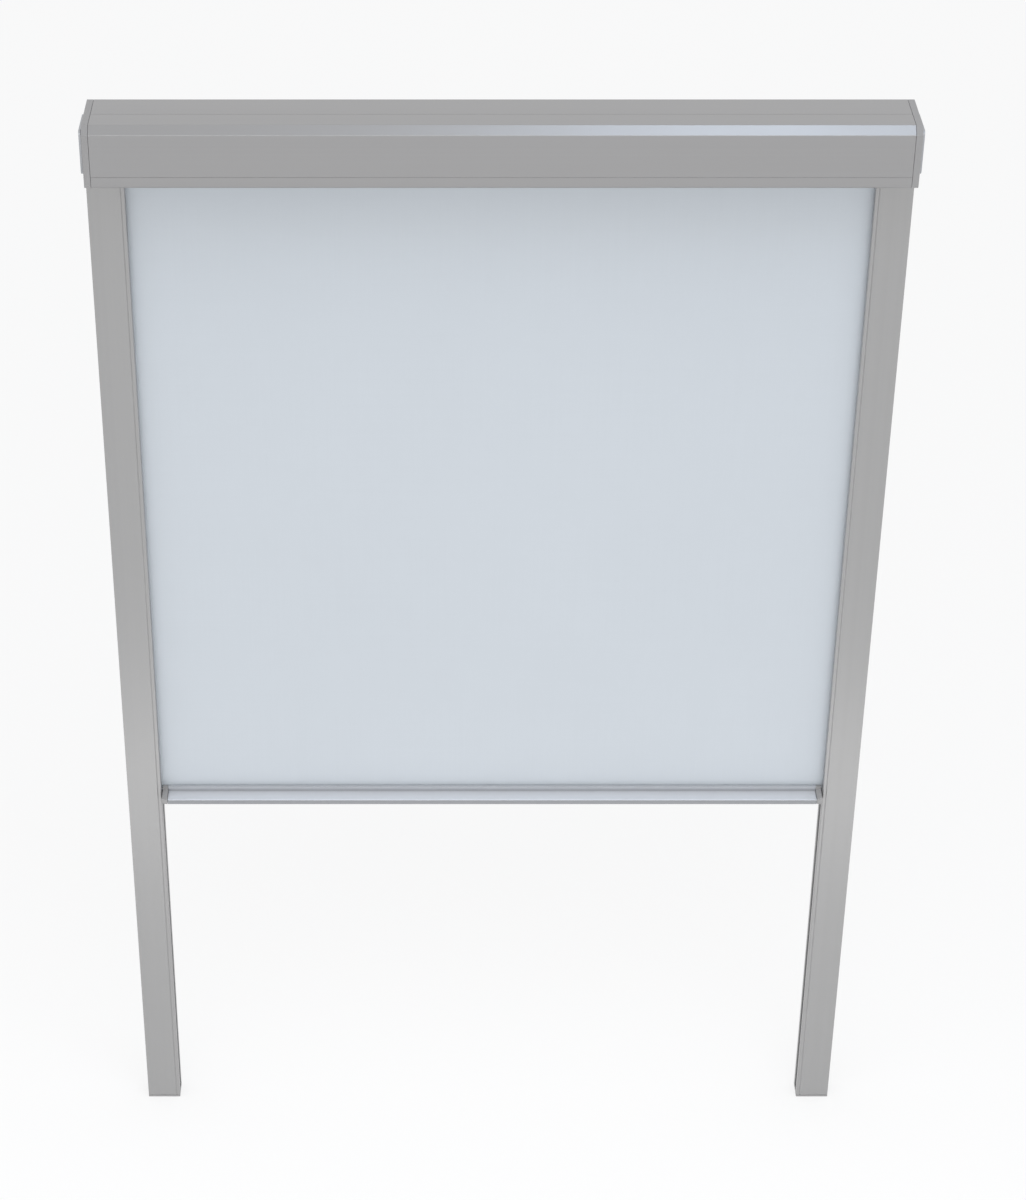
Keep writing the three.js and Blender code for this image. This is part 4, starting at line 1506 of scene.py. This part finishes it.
@dataclass
class FabricPanel:
    """The hanging cloth: nearly flat, with the faint ripples of a stretched sheet and a hem round its rod.

    Each wave of the ripples has its count across, its phase, its count along and its size.
    """

    thickness: float = 0.36 * MM
    columns: int = 96
    rows: int = 128
    ripple: float = 0.3 * MM
    waves: tuple[tuple[float, ...], ...] = ((1.7, 0.4, 0.6, 0.5), (3.1, 1.9, 1.3, 0.3), (5.3, 4.2, 2.1, 0.2))
    still_side: float = 30 * MM
    still_end: float = 6
    hem_radius: float = 1.775 * MM
    hem_sweep: float = math.radians(320)
    hem_steps: int = 20

    def build(self) -> None:
        """Make the panel and let it stretch evenly between the roller and the bar."""
        low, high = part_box("fabric_panel")
        rod_low, rod_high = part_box("hem_rod")
        bar_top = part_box("bottom_bar")[1].z
        rod = (rod_low + rod_high) / 2
        plane = (low.y + high.y) / 2
        bottom = rod.z + self.hem_radius
        width, height = high.x - low.x, high.z - bottom
        bm = bmesh.new()
        bmesh.ops.create_grid(bm, x_segments=self.columns, y_segments=self.rows, size=0.5)
        bmesh.ops.scale(bm, vec=(width, height, 1), verts=bm.verts)
        bmesh.ops.rotate(bm, verts=bm.verts, cent=(0, 0, 0), matrix=QUARTER_TURN)
        bmesh.ops.translate(bm, verts=bm.verts, vec=(0, plane, (high.z + bottom) / 2))
        self.rippled(bm, high.z, bar_top, width / 2)
        near = 0.01 * MM
        foot = [v for v in bm.verts if v.co.z < bottom + near]
        hem = [e for e in bm.edges if all(v.co.z < bottom + near for v in e.verts)]
        spun(bm, foot + hem, Vector((0, plane, rod.z)), self.hem_sweep, self.hem_steps)
        laid_out(bm, lambda vert: vert.co.z)
        panel = add_piece("blackout_panel", bm, CLOTH, None, "fabric_panel", weighted=False)
        thicken(panel, self.thickness)
        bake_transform(panel, Body.FRAME.value, Body.BAR.value, start=(0, plane, high.z), end=(0, plane, bar_top))
        self.even_stretch(panel, high.z, bar_top)

    def rippled(self, bm: BMesh, top: float, bottom: float, half: float) -> None:
        """Move the cloth's points off its plane by a few tenths of a millimetre.

        Args:
            bm: The mesh, changed in place.
            top: The height where the cloth leaves the roller.
            bottom: The height of the bar's upper edge.
            half: Half the cloth's width.
        """
        for vert in bm.verts:
            share = (top - vert.co.z) / (top - bottom)
            still = min(share, 1 - share) * self.still_end
            side = (half - abs(vert.co.x)) / self.still_side
            hold = max(0.0, min(1.0, still)) * max(0.0, min(1.0, side))
            push = sum(
                size * math.sin(2 * math.pi * (across * vert.co.x / half / 2 + along * share) + phase)
                for across, phase, along, size in self.waves
            )
            vert.co.y += self.ripple * hold * push

    def even_stretch(self, panel: Object, top: float, bottom: float) -> None:
        """Share the bar's travel evenly over the cloth's height, as cloth that winds on a roller shows it."""
        shares = [min(1.0, max(0.0, (top - v.co.z) / (top - bottom))) for v in panel.data.vertices]
        panel.data.attributes[BLEND_ATTRIBUTE].data.foreach_set("value", shares)


@dataclass
class BottomBar:
    """The bar: profile with its finger ledge, hem rod, seal, end caps, brake pads and springs."""

    edge_break: float = 0.12 * MM
    edge_radius: float = 0.5 * MM
    # Painted highlights on the bar: how much of the lighter colour the top, the groove wall and the ledge's back
    # get.
    top_polish: float = 0.3
    groove_polish: float = 0.15
    rear_polish: float = 0.58
    wall: float = 1.3 * MM
    bead: float = 0.7 * MM
    bead_height: float = 2.4 * MM
    ledge_drop: float = 5.2 * MM
    ledge_sag: float = 0.9 * MM
    ledge_sheet: float = 1.5 * MM
    lip_height: float = 4.7 * MM
    lip_radius: float = 0.7 * MM
    slot_width: float = 1.2 * MM
    pocket_radius: float = 2 * MM
    curve_steps: int = 24
    chamber_drop: float = 7.1 * MM
    chamber_height: float = 6.4 * MM
    seal_groove_width: float = 4.6 * MM
    seal_groove_depth: float = 1.2 * MM
    cap_break: float = 0.25 * MM
    pad_break: float = 0.3 * MM
    spring_radius: float = 2 * MM
    spring_wire: float = 0.3 * MM
    spring_turns: int = 7
    pile: Tufting = Tufting(
        thickness=0.45 * MM,
        spacing=0.9 * MM,
        rows=5,
        row_spacing=0.75 * MM,
        lean=0.05,
        seed=7,
        backing=0.9 * MM,
    )

    def build(self) -> None:
        """Make every piece of the bar."""
        self.profile()
        add_softened("hem_rod_drawn", "hem_rod", self.edge_break, NYLON, Body.BAR)
        self.pile.build("bar_pile", "bar_seal", Axis.X, Vector((0, 0, -1)), Body.BAR)
        sizes = (self.spring_radius, self.spring_wire, self.spring_turns)
        for side in Side:
            end = side.suffix
            add_softened(f"glider_cap{end}", f"bar_end_cap{end}", self.cap_break, GREY_PLASTIC, Body.BAR)
            add_softened(f"felt_pad{end}", f"brake_pad{end}", self.pad_break, FELT, Body.BAR)
            add_spring(f"brake_spring{end}_wire", f"brake_spring{end}", Body.BAR, *sizes)

    def profile(self) -> None:
        """The drawn bar: hem pocket, bead, finger ledge with its lip, chamber and seal groove."""
        low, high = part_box("bottom_bar")
        rod_low, rod_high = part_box("hem_rod")
        centre = (rod_low + rod_high) / 2
        top, bottom = high.z, low.z
        rear = high.y
        plane = centre.y
        front = 2 * plane - rear
        bead_front = front - self.bead
        ledge = top - self.ledge_drop
        under = ledge - self.ledge_sag - self.ledge_sheet
        half = self.slot_width / 2
        groove = self.seal_groove_width / 2
        corners = (
            Corner(plane + half, top),
            *self.pocket(plane, centre.z, half),
            Corner(plane - half, top),
            Corner(bead_front, top, self.edge_radius),
            Corner(bead_front, top - self.bead_height),
            Corner(front, top - self.bead_height - self.bead),
            *self.ledge_line(front, low.y + self.lip_radius, ledge),
            Corner(low.y, ledge, self.lip_radius / 2),
            Corner(low.y, ledge - self.lip_height, self.lip_radius),
            Corner(low.y + self.ledge_sheet, ledge - self.lip_height),
            Corner(low.y + self.ledge_sheet, under, self.lip_radius),
            Corner(front, under),
            Corner(front, bottom, self.edge_radius),
            Corner(plane - groove, bottom),
            Corner(plane - groove, bottom + self.seal_groove_depth),
            Corner(plane + groove, bottom + self.seal_groove_depth),
            Corner(plane + groove, bottom),
            Corner(rear, bottom, self.edge_radius),
            Corner(rear, top, self.edge_radius),
        )
        aside = (rear - front) / 2 - self.wall
        ceiling = top - self.chamber_drop
        floor = ceiling - self.chamber_height
        chamber = [
            Corner(plane + way * aside, level, self.edge_radius)
            for way, level in ((-1, floor), (1, floor), (1, ceiling), (-1, ceiling))
        ]
        shape = softened(drawn_outline(Axis.X, corners, low.x, high.x, chamber), self.edge_break)
        self.polished(shape, front, low.y, top, ledge)
        add_piece("bar_profile", shape, SATIN_PAINTED_LIGHT, Body.BAR, "bottom_bar")

    def polished(self, shape: BMesh, front: float, lip: float, top: float, ledge: float) -> None:
        """Mark where the bar gets a painted highlight: most on the ledge's front, less on its back and the top,
        least on the wall under the bead.

        Args:
            shape: The bar's mesh.
            front: The plane of the bar's front wall.
            lip: The plane of the lip's front.
            top: The level of the bar's top.
            ledge: The level of the ledge's lip.
        """
        # The marks paint highlights. Unmarked faces, such as the lip's front, keep the bar's darker base colour,
        # which paints their shade.
        layer = shape.faces.layers.float.new(PAINTED_HIGHLIGHT_ATTRIBUTE)
        shape.normal_update()
        for face in shape.faces:
            middle = face.calc_center_median()
            sunk = ledge - 2 * self.ledge_sag < middle.z <= ledge
            faces_up = face.normal.z > 0.5
            # Painted highlight on the ledge, rising towards its lip.
            if sunk and faces_up and middle.y < front:
                reach = (front - middle.y) / (front - lip)
                face[layer] = self.rear_polish + (1 - self.rear_polish) * reach
            elif middle.z > top - self.bead_height:
                face[layer] = self.top_polish
            elif middle.z > ledge and middle.y < front + self.edge_break:
                face[layer] = self.groove_polish

    def pocket(self, plane: float, middle: float, half: float) -> list[Corner]:
        """Trace the round pocket that holds the hem, from the slot's rear side round to its front side.

        Args:
            plane: The pocket's middle, along Y.
            middle: Its middle, along Z.
            half: Half the slot's width.

        Returns:
            The pocket's corners.
        """
        opening = math.asin(half / self.pocket_radius)
        sweep = 2 * (math.pi - opening)
        turns = [math.pi / 2 - opening - sweep * i / self.curve_steps for i in range(self.curve_steps + 1)]
        radius = self.pocket_radius
        return [Corner(plane + radius * math.cos(t), middle + radius * math.sin(t)) for t in turns]

    def ledge_line(self, rear: float, front: float, level: float) -> list[Corner]:
        """Trace the hollowed ledge, from the bar's face out to its lip.

        Args:
            rear: Where it starts, along Y.
            front: Where it ends, along Y.
            level: The height of its two ends.

        Returns:
            The ledge's corners.
        """
        steps = self.curve_steps
        return [
            Corner(rear + (front - rear) * i / steps, level - self.ledge_sag * math.sin(math.pi * i / steps))
            for i in range(steps + 1)
        ]


# The picture


@dataclass(frozen=True)
class SoftLight:
    """A large soft light: an evenly bright rectangle that faces a point."""

    name: str
    place: tuple[float, float, float]
    target: tuple[float, float, float]
    width: float
    height: float
    radiance: float
    colour: tuple[float, float, float] = (1.0, 1.0, 1.0)

    def build(self) -> None:
        """Set the light up."""
        light = bpy.data.lights.new(self.name, "AREA")
        light.shape = "RECTANGLE"
        light.size = self.width
        light.size_y = self.height
        light.color = self.colour
        light.energy = self.radiance * math.pi * self.width * self.height
        lamp = linked(self.name, light)
        lamp.location = self.place
        lamp.rotation_mode = "QUATERNION"
        lamp.rotation_quaternion = (Vector(self.target) - Vector(self.place)).to_track_quat("-Z", "Y")
        lamp.visible_camera = False


LIGHTS = (
    SoftLight("softbox", (0.36, -0.78, 1.3), (0.15, -0.05, 0.0), 0.5, 0.6, 2.7, (0.68, 0.82, 1.0)),
    SoftLight("front_fill", (0.0, -3.0, 0.35), (0.0, 0.0, -0.4), 2.2, 1.1, 1.8),
    SoftLight("low_light", (0.0, -0.55, 0.02), (0.0, -0.45, -0.65), 1.3, 0.35, 1.25),
    SoftLight("foot_light", (0.0, -0.4, -0.87), (0.0, 0.0, -0.9), 1.2, 0.15, 0.9),
)


@dataclass
class Studio:
    """The floor, the light and the camera."""

    level_aside: float = 0.25
    level_above: float = 1.2
    sky_colour: tuple[float, float, float] = (0.985, 0.99, 1.0)
    floor_colour: tuple[float, float, float] = (0.88, 0.88, 0.88)
    white_share: float = 0.75
    floor_size: float = 40.0
    camera_place: tuple[float, float, float] = (-0.0516, -2.1283, 0.9496)
    camera_elevation: float = math.radians(33)
    focal_pixels: float = 2987
    picture_height: float = 1200
    picture_width: float = 1026
    axis_pixel: float = 433.4

    def build(self) -> None:
        """Set up the picture."""
        bpy.context.scene.view_settings.view_transform = "Standard"
        self.world()
        self.floor()
        for light in LIGHTS:
            light.build()
        self.camera()

    def world(self) -> None:
        """A light from all round, stronger from above, seen as white."""
        world = bpy.data.worlds.new("studio")
        bpy.context.scene.world = world
        world.use_nodes = True
        shader = Shader(world.node_tree)
        way = shader.node("SeparateXYZ", {0: shader.node("TexCoord").outputs["Generated"]})
        level = shader.ranged(way.outputs["Z"], 0, 1, self.level_aside, self.level_above)
        light = shader.node("Background", {"Color": (*self.sky_colour, 1), "Strength": level})
        white = shader.node("Background", {"Color": (1, 1, 1, 1), "Strength": 1})
        mix = shader.node("MixShader", {0: self.seen(shader), 1: light.outputs[0], 2: white.outputs[0]})
        shader.node("OutputWorld", {"Surface": mix.outputs[0]})

    def seen(self, shader: Shader) -> NodeSocket:
        """Tell the rays that show the background from those that light the blind.

        Args:
            shader: The tree that the nodes go in.

        Returns:
            One for a camera, glossy or transmission ray, and nothing for the others.
        """
        path = shader.node("LightPath").outputs
        direct = shader.math("MAXIMUM", path["Is Camera Ray"], path["Is Transmission Ray"])
        return shader.math("MAXIMUM", direct, path["Is Glossy Ray"])

    def floor(self) -> None:
        """A pale floor under the channels' feet."""
        bm = bmesh.new()
        bmesh.ops.create_grid(bm, x_segments=1, y_segments=1, size=self.floor_size / 2)
        bmesh.ops.translate(bm, verts=bm.verts, vec=(0, 0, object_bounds()[0].z))
        floor = linked("floor", as_mesh(bm, "floor"))
        material = bpy.data.materials.new("pale_floor")
        material.use_nodes = True
        shader = Shader(material.node_tree)
        share = shader.math("MULTIPLY", self.seen(shader), self.white_share)
        lit = shader.node("BsdfDiffuse", {"Color": (*self.floor_colour, 1)})
        white = shader.node("Emission", {"Color": (1, 1, 1, 1), "Strength": 1})
        mix = shader.node("MixShader", {0: share, 1: lit.outputs[0], 2: white.outputs[0]})
        shader.node("OutputMaterial", {"Surface": mix.outputs[0]})
        floor.data.materials.append(material)
        floor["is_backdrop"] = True

    def camera(self) -> None:
        """The photograph's camera: 33 degrees above, with the axis left of the picture's middle."""
        data = bpy.data.cameras.new("camera")
        data.sensor_fit = "AUTO"
        data.lens = data.sensor_width * self.focal_pixels / self.picture_height
        data.shift_x = (self.picture_width / 2 - self.axis_pixel) / self.picture_height
        camera = linked("camera", data)
        camera.location = self.camera_place
        camera.rotation_euler = (math.pi / 2 - self.camera_elevation, 0, 0)
        bpy.context.scene.camera = camera


def main() -> None:
    """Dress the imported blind: each sub-assembly in turn, then the studio."""
    logging.basicConfig(level=logging.INFO, format="%(name)s: %(message)s")
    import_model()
    for assembly in (Cassette(), Channels(), Roller(), BottomBar(), FabricPanel(), Studio()):
        assembly.build()


if __name__ == "__main__":
    main()
